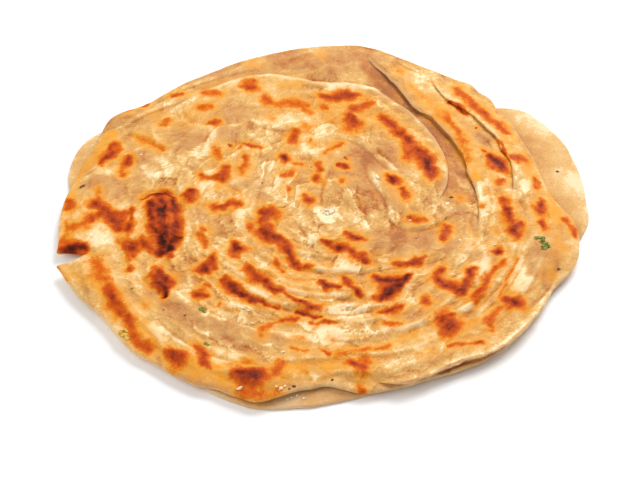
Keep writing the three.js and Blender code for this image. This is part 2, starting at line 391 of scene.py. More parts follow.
LEAF_EDGES = (
    LeafEdge("outer_fold", ((20, 101), (23.4, 97.8), (27, 92), (30, 88.6), (33.4, 83),
        (37.4, 76.6), (40.6, 70), (44, 65.4), (50, 60.6), (53.4, 55), (57.4, 48.6), (60.6, 41.4),
        (63, 35), (63.6, 27), (66, 20), (67, 11), (66.6, 3), (65, -3)),
        Side.LEFT, 2.3, 12.0, 9.0, overhang=1.2, root=6.0, thickness=0.6, ragged=0.5),
    LeafEdge("middle_disc", ((-66, 58), (-56, 68.5), (-44, 77), (-33, 82.8), (-21, 85.4),
        (-9, 83.6), (0, 80.8), (11.8, 79.8), (19, 79), (25.5, 76.8), (30, 71.8), (38, 64.6),
        (44.6, 55.8), (49.4, 47), (52.6, 38), (53.8, 30), (53.4, 23), (51, 15), (48, 9)),
        Side.RIGHT, 1.7, 9.0, 8.0, overhang=0.8, root=5.0, thickness=0.6, ragged=0.5),
    LeafEdge("second_fold", ((50.6, 86), (51.2, 82), (53, 77.4), (56.6, 71), (61.4, 66),
        (65.4, 63), (68.6, 59), (71.8, 54), (75.8, 47.8), (78, 40.6), (81, 34), (81.8, 27),
        (81.4, 19), (80, 12)),
        Side.LEFT, 1.3, 7.0, 6.0, overhang=0.7, root=4.0, thickness=0.4, ragged=0.7),
    LeafEdge("rim_dent", ((35.5, 96), (38, 93.4), (41, 90.8), (45, 88)), Side.LEFT, 1.0, 4.0, 3.0),
    LeafEdge("top_band", ((2, 49), (10, 48), (18, 44.6), (23, 39), (27, 34), (32, 29), (38, 26),
        (43, 20)), Side.LEFT, 0.8, 6.0, 6.0),
    LeafEdge("curl", ((21.5, 33), (21.5, 27), (25, 20), (28.2, 14), (29.4, 8), (30, 3),
        (31.8, -0.6), (35, -3.2), (40, -4.4), (46, -2.6), (50, -0.6), (52.6, 3), (57, 6)),
        Side.LEFT, 1.2, 7.0, 7.0),
    LeafEdge("flake_left", ((-47, 36), (-46, 42), (-44.4, 48), (-41, 53.4), (-36, 54.8),
        (-31, 55.6)), Side.RIGHT, 1.0, 5.0, 5.0),
    LeafEdge("white_flake", ((-31, 58.4), (-26, 56.6), (-20.4, 53.9), (-9.4, 52.2), (0, 50.6)),
        Side.LEFT, 0.9, 5.0, 5.0),
    LeafEdge("upright_crease", ((-32.6, 56), (-32.2, 48), (-32.4, 40), (-30.5, 33)),
        Side.LEFT, 0.6, 4.0, 4.0),
    LeafEdge("left_crease", ((-78, 51), (-74, 48.6), (-67, 45), (-61.5, 40.5)),
        Side.LEFT, 0.8, 5.0, 4.0),
    LeafEdge("left_pocket", ((-75, 42), (-73, 34), (-70, 27), (-66, 22)), Side.LEFT, 0.7, 5.0, 5.0),
    LeafEdge("streak_edge", ((-50, 28), (-44, 25), (-36, 22), (-30, 17), (-28, 9)),
        Side.LEFT, 0.9, 5.0, 5.0),
    LeafEdge("lower_left", ((-78, -10), (-74.6, -18), (-71, -26), (-66, -33), (-58.5, -41.2),
        (-49.7, -48.6), (-41.7, -54.4), (-30, -60.2), (-19.7, -63.3), (-8, -65)),
        Side.LEFT, 0.9, 9.0, 8.0, drop=4.0),
    LeafEdge("lower_left_inner", ((-57, -31), (-50, -40), (-41.7, -47), (-34, -51), (-24, -54.6),
        (-12, -56.6), (0, -57)), Side.RIGHT, 0.9, 6.0, 6.0, drop=2.6),
    LeafEdge("front_arc", ((-44, -12), (-41, -21), (-36, -29), (-29, -35.8), (-20, -41),
        (-10, -44.6), (0, -46.6), (10, -47), (20, -45.4), (30, -42)), Side.LEFT, 1.3, 6.0, 5.0),
    LeafEdge("near_arc", ((-33, -8), (-29, -19), (-23, -28), (-14, -34.6), (-4, -38), (8, -38.6),
        (20, -39.6), (32, -37), (43, -31)), Side.LEFT, 1.2, 5.0, 4.5),
    LeafEdge("inner_arc", ((-21, -1), (-18, -11), (-11, -19.4), (-2, -24.6), (9, -26.4), (20, -26),
        (30, -24), (42, -22), (52, -17.6)), Side.LEFT, 1.0, 5.0, 4.5),
    LeafEdge("right_sweep", ((80, -11), (77, -21), (72.6, -30), (66, -38.6), (57.6, -46),
        (48, -50), (38, -54), (26, -57), (12, -58)), Side.RIGHT, 1.5, 6.0, 6.0),
    LeafEdge("right_sweep_inner", ((72, -12), (69, -22), (64, -31), (57, -38.6), (49, -43)),
        Side.RIGHT, 1.2, 5.0, 5.0),
    LeafEdge("right_sweep_outer", ((91, -17), (86, -28), (80, -38), (72.4, -47.6), (63, -56.4),
        (52, -60.8)), Side.RIGHT, 1.3, 7.0, 6.0),
    LeafEdge("front_lift", ((24, -80), (33, -80.6), (41.4, -78), (47, -74.6), (54, -70.6),
        (60, -68.8), (66, -66.6), (74, -60.4), (82, -51), (88, -42)),
        Side.LEFT, 1.6, 7.0, 4.0, overhang=1.2, root=4.5, thickness=0.7),
    LeafEdge("right_nick", ((90, 14), (93, 12.4), (94.2, 9), (93.4, 5), (95, 1)),
        Side.LEFT, 0.8, 3.0, 3.0),
    LeafEdge("fold_step", ((68, 51.6), (71.6, 48), (75, 42.6)), Side.LEFT, 0.7, 3.0, 3.0),
    LeafEdge("fold_inner", ((63.6, 29), (70, 22), (72, 12), (71, 2)), Side.LEFT, 0.7, 4.0, 4.0),
    LeafEdge("eye_ring", ((15, 39), (9, 35), (5, 28), (2, 17), (2, 8)), Side.RIGHT, 0.8, 5.0, 4.0),
    LeafEdge("eye_lower", ((-11, 7), (-5, -3), (1.8, -15.6), (7.5, -19.4), (14, -21)),
        Side.LEFT, 0.8, 5.0, 4.0),
    LeafEdge("left_strip", ((-20, 36), (-21, 30), (-22, 22), (-24.5, 10), (-22, 2)),
        Side.RIGHT, 0.7, 4.0, 4.0),
    LeafEdge("left_ring", ((-45, -6), (-48, 4), (-47, 14), (-42, 23)), Side.LEFT, 0.7, 4.0, 4.0),
    LeafEdge("right_rib", ((84, -14), (80, -24), (75, -33), (69, -41), (62, -48)),
        Side.RIGHT, 1.0, 4.0, 4.0),
    LeafEdge("rim_crease", ((97, -20), (92.6, -32), (86, -41), (79, -50)),
        Side.LEFT, 0.9, 3.0, 3.0),
    LeafEdge("front_rib", ((-20, -70), (-6, -71), (8, -70), (22, -68), (36, -65)),
        Side.LEFT, 0.8, 4.0, 4.0),
    LeafEdge("front_left_rib", ((-60, -52), (-52, -60), (-42, -67), (-30, -72), (-20, -74)),
        Side.RIGHT, 0.7, 5.0, 5.0),
    LeafEdge("band_edge", ((-84, 52), (-74, 60), (-62, 67.6), (-50, 73)), Side.LEFT, 0.8, 3.0, 3.0),
    LeafEdge("top_rim", ((-66, 73), (-54, 80), (-40, 86.6), (-24, 91)), Side.LEFT, 0.7, 3.0, 3.0),
)


@dataclass(frozen=True)
class Blister:
    """Puffed-up place: its turn is in degrees, the rest in mm; a crisper one is steeper."""

    at: Point
    half: Point
    turn: float
    height: float
    crisp: float = 1.0

    def relief(self, x: Field, y: Field) -> Field:
        """Height that the blister adds.

        Args:
            x: places in mm.
            y: places in mm.

        Returns:
            Heights in mm.
        """
        along, across = in_oval(x, y, self.at, self.half, self.turn)
        inside = np.clip(1.0 - along ** 2 - across ** 2, 0.0, 1.0)
        return self.height * inside ** (1.3 / self.crisp)


@dataclass(frozen=True)
class Groove:
    """Narrow crease, pit or wrinkle: its points, half width and depth in mm."""

    points: tuple[Point, ...]
    half: float
    depth: float

    def relief(self, x: Field, y: Field) -> Field:
        """Height that the groove adds, below 0.

        Args:
            x: places in mm.
            y: places in mm.

        Returns:
            Heights in mm.
        """
        line = smooth_line(self.points, 0.8)
        near = close_to(line, x, y, 3.0 * self.half)
        gap, _ = nearest_on(line, x[near], y[near])
        added = np.zeros_like(x)
        added[near] = -self.depth * np.exp(-(gap / self.half) ** 2)
        return added


GROOVES = (
    Groove(((-60.9, 9), (-60.6, 3), (-60.6, -3)), 0.9, 0.9),
    Groove(((-62.4, -7), (-61.6, -12), (-61.4, -17)), 1.1, 1.3),
    Groove(((-58.8, -8), (-57.8, -12), (-58.4, -16)), 1.0, 1.1),
    Groove(((-69.6, 12.4), (-66.4, 15.6), (-61.4, 16.6), (-56.8, 14.8)), 1.0, 1.0),
    Groove(((-54.4, 9), (-53.6, 2), (-52.8, -5), (-54, -12)), 1.1, 0.7),
    Groove(((-74.4, 8.6), (-74.6, 4), (-73.6, 0)), 0.8, 0.7),
    Groove(((-60.4, -36.6), (-57.8, -38.6)), 1.2, 2.4),
    Groove(((-66, -31), (-62.6, -35.4)), 0.8, 0.7),
    Groove(((-78, 50), (-71, 46.6), (-62.4, 40)), 1.2, 0.6),
    Groove(((79.4, -19.6), (75.6, -28.6), (71.6, -39)), 0.7, 0.6),
    Groove(((-32.4, 53), (-32.2, 47), (-31.2, 42)), 0.8, 0.5),
    Groove(((-74, -14), (-71.4, -19), (-68, -23)), 0.8, 0.6),
    Groove(((93.6, 12), (94.4, 8), (93.6, 3)), 0.8, 0.6), Groove(((52, 12), (56, 10.6)), 0.8, 0.5),
    Groove(((16, 38), (20, 42)), 0.7, 0.4), Groove(((8, 30), (3, 20), (2, 10)), 0.8, 0.5),
    Groove(((26, 40), (33, 31)), 0.8, 0.5), Groove(((-44, 4), (-42, -6), (-38, -14)), 1.0, 0.5),
    Groove(((10, -45.6), (16, -46.4), (22, -45.4)), 0.8, 0.6),
)

BLISTERS = (
    Blister((-77, -42), (30, 10), -62, 1.0), Blister((-61.2, 1), (15.5, 7), 96, 1.5, 1.8),
    Blister((-65, 0.5), (19, 10), 102, 1.7, 2.0), Blister((-24, -76), (15, 10), 12, 1.3),
    Blister((16, -72), (11, 8), 0, 0.9), Blister((-51, -70), (9, 7), -30, 0.7),
    Blister((-38, 68), (26, 12), 35, 0.7), Blister((2, 94), (24, 8), 0, 0.9),
    Blister((92, -12), (16, 9), 80, 0.9), Blister((34, -11.5), (17, 7), -14, 0.8),
    Blister((-56, 46), (12, 7), 40, 0.8), Blister((-38, 50), (7, 5), 60, 0.6),
    Blister((51, -52.5), (7.5, 6.5), 0, 0.8, 1.4), Blister((-51, 15), (5, 4), 60, 0.7, 1.5),
    Blister((75, 34), (6, 5), -60, 0.6, 1.4), Blister((79, 1), (7, 4), 90, 0.7, 1.4),
    Blister((-88, 20), (14, 8), 80, 0.8), Blister((-70, 60), (12, 6), 45, 0.5),
    Blister((68, 38), (14, 5), 112, 0.7), Blister((100, 40), (22, 7), 100, 0.5),
)

# Browned and charred places: how far each is browned, from 0.2 (amber) through 0.4 (orange)
# and 0.7 (red-brown) to 1 (black), then points along it as x, y and width.  One faint stroke
# along the upper right fold's valley is painted shade as well as light browning.
FRY_MARKS = (
    # left rim and the puffed blister
    (0.82, (-84, 43, 3.6), (-84.6, 40, 5), (-87.5, 35.5, 4.4), (-88.6, 33, 3)),
    (0.78, (-77.6, 35.4, 3), (-78, 33, 4.4)), (0.56, (-78.2, 30, 3), (-79, 25.6, 2.8)),
    (0.44, (-88.5, 15.5, 3.2)), (0.6, (-98.8, 12, 3.4), (-98.6, 8, 5)), (0.56, (-96.6, -3, 4.4)),
    (0.96, (-100, -15.4, 3.6), (-96, -14.2, 5), (-91.6, -14.6, 3.6)),
    (0.46, (-99, -11, 5), (-94.6, -10.4, 4)), (0.4, (-99.6, 1, 3), (-99.4, -8, 3)),
    (0.78, (-88.8, 9.5, 4.4), (-84, 5, 6.4), (-80.6, 1, 7.6), (-78, -3.4, 5)),
    (0.66, (-91.4, 0.5, 4.6), (-86.6, 3.4, 4)), (0.4, (-90.6, -3, 3)),
    (0.6, (-79, 4.4, 2.6), (-73.6, 4.6, 2)), (0.76, (-73.8, 7.4, 1.2), (-73.6, 0.6, 1.4)),
    (0.78, (-73.9, -3.4, 5)), (0.76, (-75.5, -12, 3.6), (-72, -14.5, 6.6), (-71.6, -18.5, 3.4)),
    (0.7, (-68.4, -10, 4), (-66.2, -13, 5.6), (-64.4, -15, 4)), (0.62, (-72.4, -24.6, 2.8)),
    (0.86, (-65.4, 10, 3.4), (-65.4, 4, 4.4), (-65, -3, 4.2), (-64, -8, 3)),
    (0.86, (-62.6, 14, 5), (-61.4, 8, 6), (-60.8, 0, 6), (-60, -8, 6), (-59.4, -15, 5)),
    (0.9, (-57.6, 11.4, 3.4), (-56.6, 5, 5), (-55.6, -2, 5), (-55.6, -9, 4.6), (-56.6, -15, 4)),
    (0.84, (-61.4, -8, 2.6), (-60.4, -12, 4), (-60.8, -17, 2.6)),
    (0.8, (-57.4, -9, 1.6), (-57, -14, 1.6)), (0.9, (-60.8, 8.4, 1.1), (-60.6, -2, 1.3)),
    (0.98, (-69, 12, 1.2), (-66.4, 14.6, 1.4), (-61.4, 15.4, 1.6), (-57.4, 13.8, 1.3)),
    (0.6, (-56.6, -20, 3.4), (-57.6, -17, 4)), (0.86, (-50, 16.8, 3), (-50.6, 13.6, 5.4)),
    # upper left
    (0.74, (-40.4, 9, 5.2), (-37.4, 8.6, 4.2), (-33, 10, 5.6), (-30.4, 10.6, 3.2)),
    (0.42, (-40.8, 42, 3), (-40, 37, 3.8)),
    (0.76, (-37, 30, 3.6), (-37.2, 27, 4.6), (-38, 24.4, 4)),
    (0.5, (-47.4, 25.6, 2.2), (-43, 24.4, 2.6), (-39, 24.6, 3)), (0.7, (-47, 25.8, 2)),
    (0.54, (-29, 36, 2.6), (-29, 30.6, 4), (-29.4, 27, 2.4)), (0.86, (-35.8, 43.2, 1)),
    (0.46, (-31, 41.6, 3)), (0.74, (-29, 43.4, 1.4), (-25, 42.6, 1.8), (-22.6, 41.4, 1.3)),
    (0.46, (-63.6, 54.6, 3.6), (-61.6, 58, 3.6)), (0.66, (-44.6, 56.4, 2), (-40.6, 56.8, 2.6)),
    (0.4, (-75.4, 48.6, 2.6), (-71, 46, 3.6), (-66.6, 43, 2.6), (-62.4, 40, 1.6)),
    (0.56, (-62.4, 39.8, 1.4)), (0.52, (-48, 73.2, 3), (-43, 73.8, 4.4)),
    (0.52, (-48.6, 64.6, 4), (-44.6, 65.4, 3.6)), (0.72, (-29.6, 78.4, 5), (-26.6, 78.6, 6)),
    (0.76, (-60.8, 74, 2.2), (-57, 75.2, 2.6)), (0.76, (-79.4, 66.4, 2), (-72.6, 69, 2.4)),
    (0.5, (-22, 70.8, 3.6), (-17, 68.6, 4.4), (-10, 68, 4.2), (-5, 66, 4.4), (-1.4, 62.6, 3.6)),
    (0.36, (-18, 59.4, 4.6)), (0.36, (-4, 54.4, 5)), (0.66, (-8.6, 50.4, 3), (-9.6, 45.6, 4.2)),
    (0.44, (-2, 46, 3)), (0.9, (-13.2, 36.4, 3.4), (-12.6, 34.8, 3)),
    (0.54, (-8.6, 31.6, 2), (-5.6, 32.2, 2.6)), (0.68, (-13, 26, 2.2), (-10, 26.6, 3.4)),
    (0.72, (-11.6, 17.6, 2.2)), (0.46, (4, 39, 2.6), (8.6, 42.6, 3), (11.6, 44.8, 1.6)),
    (0.62, (1.8, 32, 2.2), (1.4, 29.6, 2.8)), (0.72, (0.6, 26, 2.6), (0.6, 23.6, 3.2)),
    (0.82, (9, 32.4, 1), (11.6, 31.6, 1.8), (14, 30.8, 1)), (0.8, (12.4, 35, 1)),
    (0.44, (11.4, 22.8, 2.6)), (0.7, (-4.6, 14.6, 2.8), (-2.8, 11.6, 4)),
    (0.76, (-21.6, 6, 4.6), (-18.6, 3.8, 8), (-20, 0, 6.4)), (0.52, (-25.6, -2, 3.6)),
    # middle disc's upper half and its right side
    (0.7, (4, 71.4, 4.4), (9.6, 72, 4.6), (14.6, 73, 5.6), (17.4, 74, 3.6)), (0.64, (3, 65.6, 4)),
    (0.56, (16.6, 64.6, 5), (22, 67.4, 4), (24.4, 69, 2.6)), (0.76, (14.6, 60.6, 5), (16, 56, 7.2)),
    (0.34, (22, 71, 4)), (0.66, (28, 60, 4.4), (32, 55, 5.4), (36.6, 49.6, 4.6)),
    (0.8, (38.6, 45.6, 5), (41.6, 39.6, 8), (45.6, 33.6, 8.4), (47.2, 28.6, 6.8),
     (46.8, 24.6, 3.6)),
    (0.88, (46.6, 31, 4)), (0.88, (29.6, 25, 2.4), (32.6, 22.4, 4.4)),
    (0.68, (34.6, 18, 3.4), (36.6, 14, 4.4)),
    (0.7, (37.6, 1.8, 2.6), (41, 0.6, 4.6), (43.8, 0.4, 2.6)),
    (0.82, (53.4, -3, 3.4), (52.6, -5.6, 4.8), (50.4, -9.2, 1.8)),
    # folds at the right
    (1.0, (72.4, 36.8, 3.6), (74.6, 33, 6.8), (76.4, 30.4, 4.4)), (0.64, (75.2, 22, 4)),
    (0.76, (76.6, 11, 4)), (0.94, (78.2, 6.6, 4), (78.8, 0.8, 4.6)),
    (0.88, (82, -1.4, 2.6), (79.4, -5.4, 4.8)), (0.8, (91.6, 10.6, 3.4), (91, 5, 4.4)),
    (0.76, (90.2, 0, 2.2), (91.6, -4, 3)), (0.68, (82, 35, 3.4), (85.6, 35.6, 4.4)),
    (0.5, (90, 25, 2.4), (91, 20, 3.4)), (0.62, (100, 2.6, 3), (102.4, -1, 3), (104, -6.4, 2.4)),
    (0.56, (60, 78, 3), (64, 72, 4), (68.6, 65.6, 4.6), (73, 60, 5.6), (77.6, 54.6, 4.8),
     (79.8, 50.8, 3)),
    (0.9, (56.6, 69, 1.4), (60, 66.2, 1.8), (64.4, 62.2, 1.2)),
    (0.6, (77, 44.4, 1.4), (79.2, 38, 1.4)), (0.72, (70, 39.6, 1.6)), (0.84, (67.6, 53.6, 0.9)),
    (0.44, (68, 8.6, 2.4)), (0.32, (59.4, 13, 4)), (0.24, (62.6, -11.6, 3)),
    # the faint stroke from (41, 79) to (60, 49) is light browning and painted shade in the fold's
    # valley
    (0.26, (72.6, -5, 3.6)), (0.24, (41, 79, 3), (48, 69, 5), (55, 58, 6), (60, 49, 4)),
    (0.37, (54, 63, 4), (58.6, 53, 4.6), (62, 43, 4.6), (63.6, 34, 3)), (0.86, (72.6, -15.2, 3.8)),
    (0.46, (79.4, -19.6, 0.9), (75.6, -28.6, 1), (71.6, -39, 0.9)),
    (0.62, (73.4, -21.4, 2.4), (69.6, -26.6, 3), (66.6, -32, 3.2), (62, -39.6, 4)),
    (0.8, (61.4, -25.6, 2.8), (60.4, -29.6, 4.6), (57.6, -34, 2.6), (55, -37.6, 2)),
    (0.84, (49.8, -25, 3.6), (46.8, -28.2, 4), (50, -32.4, 4.6), (53.6, -35, 4.6)),
    (0.84, (74.4, -40, 4), (78, -41.6, 5)), (0.52, (74, -43.4, 3), (69, -48, 4), (66, -52.6, 3)),
    (0.92, (50.4, -52.4, 8.6), (51.8, -53.2, 9.2)), (0.5, (66.4, -50.6, 2.6), (67.6, -56.4, 3)),
    (0.6, (51, -63.6, 1.4), (57, -62.8, 1.8), (62.4, -61.8, 1.4)),
    # front half of the coil
    (0.94, (-31.4, -13, 4), (-31, -15.2, 6)), (0.6, (-44.6, -3.6, 2.6)),
    (0.58, (-46.6, -7, 2.4), (-44.4, -10.4, 2.8), (-43.2, -12.8, 2.2)),
    (0.8, (-40, -19.4, 3.2), (-40.6, -22, 4.4), (-43.4, -25, 4.2), (-45.4, -25.8, 2.6)),
    (0.86, (-21, -5, 5.4), (-16.6, -8.6, 5.2), (-13.2, -11.6, 4.8), (-10.6, -16, 4.2),
     (-8.8, -20, 3.6), (-6, -23.4, 3.6), (-3.4, -23.4, 2.4)),
    (0.5, (-15.6, -19, 1.8), (-14.6, -23, 2.4), (-12.2, -26.2, 2)),
    (0.3, (-10.6, -29, 1.4), (-5, -30.6, 1.4), (0, -30, 1)),
    (0.72, (-26.4, -25.2, 3.6), (-23.4, -29, 5), (-20.6, -31.4, 4.8), (-16, -35.6, 3.4),
     (-12.6, -37.6, 2.8), (-9, -41, 1.8), (-6.4, -42.4, 2)),
    (0.84, (-35.4, -30.6, 3.6), (-33.6, -33.6, 4.6), (-30.4, -36.8, 3.6), (-26, -39.8, 3),
     (-20, -42.4, 2.2), (-14, -44.6, 1.4)),
    (0.8, (-5.8, -42.6, 2.2), (-2, -43.8, 4), (1, -44.4, 2.8)),
    (1.0, (-6.8, -46.4, 1.4), (-3, -47.4, 2.2), (2.6, -49, 1.2)),
    (0.68, (-13.4, -50.8, 2.6), (-9.6, -50.6, 3), (-7, -49.8, 1.8)),
    (0.42, (-20.6, -58, 2.6), (-19.2, -54.6, 3.4), (-15.4, -51.6, 2.4)),
    (0.56, (-2, -51.4, 1.2), (4, -51.6, 1.6), (8, -52, 1.2)),
    (0.3, (-8, -60.2, 2.6), (-4.6, -60.6, 3)), (0.22, (6.6, -60, 3)),
    (0.5, (-9, -65, 1.4), (-3, -65.8, 1.8)), (0.6, (3.4, -65.6, 2.4), (5, -67.4, 2.4)),
    (0.36, (8, -68.6, 4.4), (14, -66.6, 4.6), (20, -64, 3.4)),
    (0.84, (2, -31.6, 1.8), (6, -33.6, 3.4), (9.8, -34.4, 1.8)),
    (0.76, (12.2, -29.6, 2.4), (13.6, -33, 3.4), (16.8, -37.4, 3.6), (17.6, -39, 2)),
    (0.24, (5.2, -24, 4)),
    (0.88, (4, -10, 2.4), (8.4, -12.6, 4), (14.6, -16, 4.6), (18.4, -19.4, 4.8), (20.8, -21.2, 3)),
    (0.84, (12.4, -6.8, 2.4), (16.2, -8.8, 4), (18.2, -9.6, 2.6)),
    (0.74, (30.4, -22.6, 1.8), (34, -22.8, 2.8), (37.6, -22.4, 2.4), (40.8, -20.4, 3.4),
     (42.2, -19, 1.8)),
    (0.94, (24.6, -30, 3.6), (28.6, -31, 4.8), (33, -30, 3.4), (37.4, -28.4, 1.8)),
    (0.98, (37.4, -28.8, 1.8), (33, -32.6, 3.6), (29, -36.6, 5), (25, -39.6, 3.6)),
    (0.6, (26, -34, 3.6)), (0.76, (25, -46.6, 2.8), (28.6, -46, 4.6), (31.8, -44.4, 3)),
    (0.5, (26.4, -51.6, 3.2), (29.8, -52.4, 3.6), (33, -52.6, 2.2)), (0.78, (43.4, -41.4, 4.6)),
    (0.42, (23, -64.4, 2.2), (28, -63.4, 2.8)), (0.28, (38, -57, 3)),
    # lower left ring and the front rim
    (0.97, (-61.8, -26.4, 3), (-60.6, -30, 7.4), (-58.4, -34, 6), (-58, -37.4, 2.4)),
    (1.35, (-58.6, -38.2, 1.5)),
    (0.72, (-46, -37.6, 2.4), (-43.6, -38.2, 3.8), (-41.6, -39.4, 2.2)),
    (0.5, (-43, -34, 2), (-41, -35.4, 2)), (0.62, (-36.4, -43.6, 2.4)), (0.24, (-64.4, -43.6, 4)),
    (0.5, (-102.8, -19, 1.8), (-102, -25, 2.6), (-98, -29.4, 3.4)),
    (0.48, (-85.6, -21.6, 5.4), (-84.2, -27, 7), (-82.4, -32, 5)),
    (0.62, (-80.6, -36, 4.6), (-78.2, -41, 6.8), (-75.6, -45, 5.8), (-72.4, -50, 4.6),
     (-69.4, -56, 4.6), (-66.4, -60.6, 4.6), (-62.8, -63.6, 5.4)),
    (0.74, (-78.4, -41, 4.4)), (0.82, (-54.6, -67.4, 3.6), (-51, -70.4, 7.4)),
    (0.64, (-44.6, -64, 3.2), (-42, -67.4, 4.4), (-41, -71, 3.2), (-39.8, -73.8, 1.8)),
    (0.86, (-27.6, -77.6, 7.6), (-24.4, -78, 10), (-22, -78.6, 8.4)),
    (0.42, (-28, -83, 4.4), (-21, -86, 5.4), (-14, -85, 3.6)),
    (0.5, (-12, -72.6, 3.6), (-14, -76.8, 5.2)), (0.34, (-3, -75.8, 4)), (0.24, (-7, -74, 3)),
    (0.82, (13.6, -72, 4.4), (17, -73.4, 6.6)), (0.46, (17.8, -83, 3.2)), (0.24, (2, 98.6, 4)),
    (0.2, (-27, 95.6, 5)), (0.3, (37, 88.6, 4)),
)

# Golden areas round the marks and along leaf tops: points, width, strength.
GOLD_AREAS = (
    (((-46, 76), (-30, 82), (-8, 80)), 14.0, 0.3), (((-68, 62), (-56, 56), (-48, 64)), 13.0, 0.2),
    (((4, 62), (20, 66), (34, 52), (46, 36)), 20.0, 0.3),
    (((-86, 50), (-93.5, 34), (-98, 24), (-98.6, 5), (-97, -10)), 7.0, 0.52),
    (((-92, 4), (-78, 2), (-70, -6)), 22.0, 0.34), (((-84, 40), (-78, 30)), 12.0, 0.24),
    (((-97, -22), (-86, -30), (-76, -46), (-60, -64)), 13.0, 0.42),
    (((-52, -70), (-30, -78), (-10, -76), (4, -74)), 14.0, 0.42), (((16, -72),), 22.0, 0.4),
    (((40, -66), (60, -60), (72, -46), (80, -34)), 13.0, 0.26), (((51, -53),), 17.0, 0.26),
    (((62, 78), (76, 58), (84, 38), (92, 20), (98, 2)), 11.0, 0.4),
    (((70, 30), (76, 16), (80, 0)), 11.0, 0.26), (((96, -4), (97, -16), (92, -28)), 9.0, 0.34),
    (((53, 66), (59, 52), (63, 38), (66, 24)), 8.0, 0.5),
    (((-40, 20), (-32, 17), (-24, 12)), 6.0, 0.5),
    (((-30, -20), (-18, -32), (0, -38), (24, -34), (44, -26)), 12.0, 0.24),
    (((4, -10), (24, -20), (44, -20)), 12.0, 0.2), (((-2, 44), (8, 42), (-4, 28)), 12.0, 0.16),
    (((28, 62), (44, 84), (56, 76)), 8.0, 0.2), (((-48, 26), (-38, 24)), 6.0, 0.5),
    (((-75, 49), (-66, 43)), 8.0, 0.46), (((8, -68), (20, -64), (34, -60)), 6.0, 0.4),
)

# Areas of the plan: middle, half sizes, turn in degrees, strength.  First smooth bare dough
# that stayed on the inside of a fold, whose strongest areas, along the valley of the upper
# right fold, darken it as painted shade; then pale floury dough that puffed without browning.
BARE_DOUGH_AND_VALLEY_SHADE = (
    ((-53, 47), (6, 6), 40, 0.9), ((-37, 49), (7, 5), 60, 0.9), ((-30, 62), (18, 4), 14, 0.8),
    ((0, 95), (30, 7), 0, 1.2), ((-26, 92), (22, 4), 12, 0.7), ((33, 77), (22, 5), -55, 2.6),
    ((30, 84), (12, 4), -58, 0.9), ((45, 60), (13, 5), -60, 1.2), ((54, 44), (22, 5), -66, 2.8),
    ((60, 30), (14, 5), -80, 0.8), ((57, 17), (13, 4.6), -84, 1.3),
    ((33, -11), (13, 6.5), -14, 1.1), ((-87, 19), (9, 6), 10, 0.9), ((-71, 31), (5, 9), -14, 0.8),
    ((-76, 13), (5, 3.6), 0, 0.8), ((-56, -42), (13, 4.6), -48, 1.2),
    ((-38, -54), (13, 4.2), -24, 1.2), ((-20, -60), (12, 2.6), -10, 0.9),
    ((64, 54), (18, 4), -58, 0.5), ((91, -20), (13, 7), 76, 0.7), ((16, 30), (13, 10), -20, 1.3),
    ((34, 36), (12, 3.4), -60, 0.9), ((-24, 20), (4, 10), 0, 0.7), ((-30, 27), (3, 8), 0, 0.6),
    ((30, 12), (8, 5), -50, 0.7), ((60, -16), (14, 3), -20, 0.8), ((10, -27), (12, 2), -10, 0.5),
    ((-4, -30), (12, 2), -14, 0.7), ((10, -70), (14, 2), 0, 0.4), ((38, -48), (14, 2.2), 20, 0.5),
    ((-6, -84), (16, 4), 5, 1.0), ((93, 44), (4, 18), -28, 0.9), ((-42, -80), (14, 3), -30, 0.9),
    ((-46, 4), (5, 8), 0, 0.5), ((60, -4), (6, 3), 0, 0.4), ((45, -8), (10, 3), -20, 0.8),
)
FLOURY_AREAS = (
    ((-66, 29), (7, 6), 20, 0.9), ((-52, -36), (6, 4), -45, 0.8), ((-58, 33), (5, 5), 0, 0.6),
    ((-88.5, 28), (6, 3), 20, 0.7), ((-87, -9), (8, 4), 0, 0.5), ((-41, -15), (5, 4), 0, 0.7),
    ((-73, 4), (2.6, 9), 8, 0.8), ((-34, -50), (9, 2.2), -28, 1.0),
    ((-32.6, -68.6), (6, 5.4), 0, 0.9), ((-59.6, -56), (5, 4), -40, 0.6),
    ((-92, -22), (6, 3), -20, 0.6), ((5, -58), (9, 5), 0, 1.1), ((-10, -57), (8, 3), 0, 0.8),
    ((11, -43.6), (5, 2), 0, 1.0), ((-4, -13), (4.6, 6.4), -20, 0.8),
    ((31, -73), (8, 3.4), 16, 0.8), ((-28, -44), (8, 1.4), -16, 0.9),
    ((85.6, 19.6), (3, 4), 0, 1.0), ((54, 10), (3, 4.4), 0, 1.0), ((67.4, 12), (2, 10), 0, 0.9),
    ((80, -27), (3.4, 7), -14, 1.0), ((62, -15), (5, 3), 0, 0.5), ((-22, 48.4), (6, 3.6), -8, 1.3),
    ((-5, 41), (4, 3.4), 0, 0.9), ((5.4, 5), (4.2, 4), 0, 1.4), ((25, 23), (2.6, 3.6), 0, 1.1),
    ((12, 78), (12, 1.6), 0, 0.8), ((-42, 48.6), (1.6, 4), 0, 0.7), ((24, 59), (3, 3), 0, 0.6),
    ((-29, 1), (3, 7), 0, 0.7), ((30, -40), (10, 3), 20, 0.4), ((36, -24.8), (9, 1.6), 6, 0.7),
    ((44, -34), (3, 5), 0, 0.6), ((66, -22), (3, 5), -30, 0.7), ((48, 80), (8, 4), -50, 0.5),
    ((-14, 58), (9, 1.2), -8, 0.9), ((-33, 53), (1, 5), 0, 0.5), ((18, 3), (8, 4), 0, 0.5),
    ((-6, 2), (3, 8), 20, 0.5), ((58, -44), (6, 3), 40, 0.5),
)


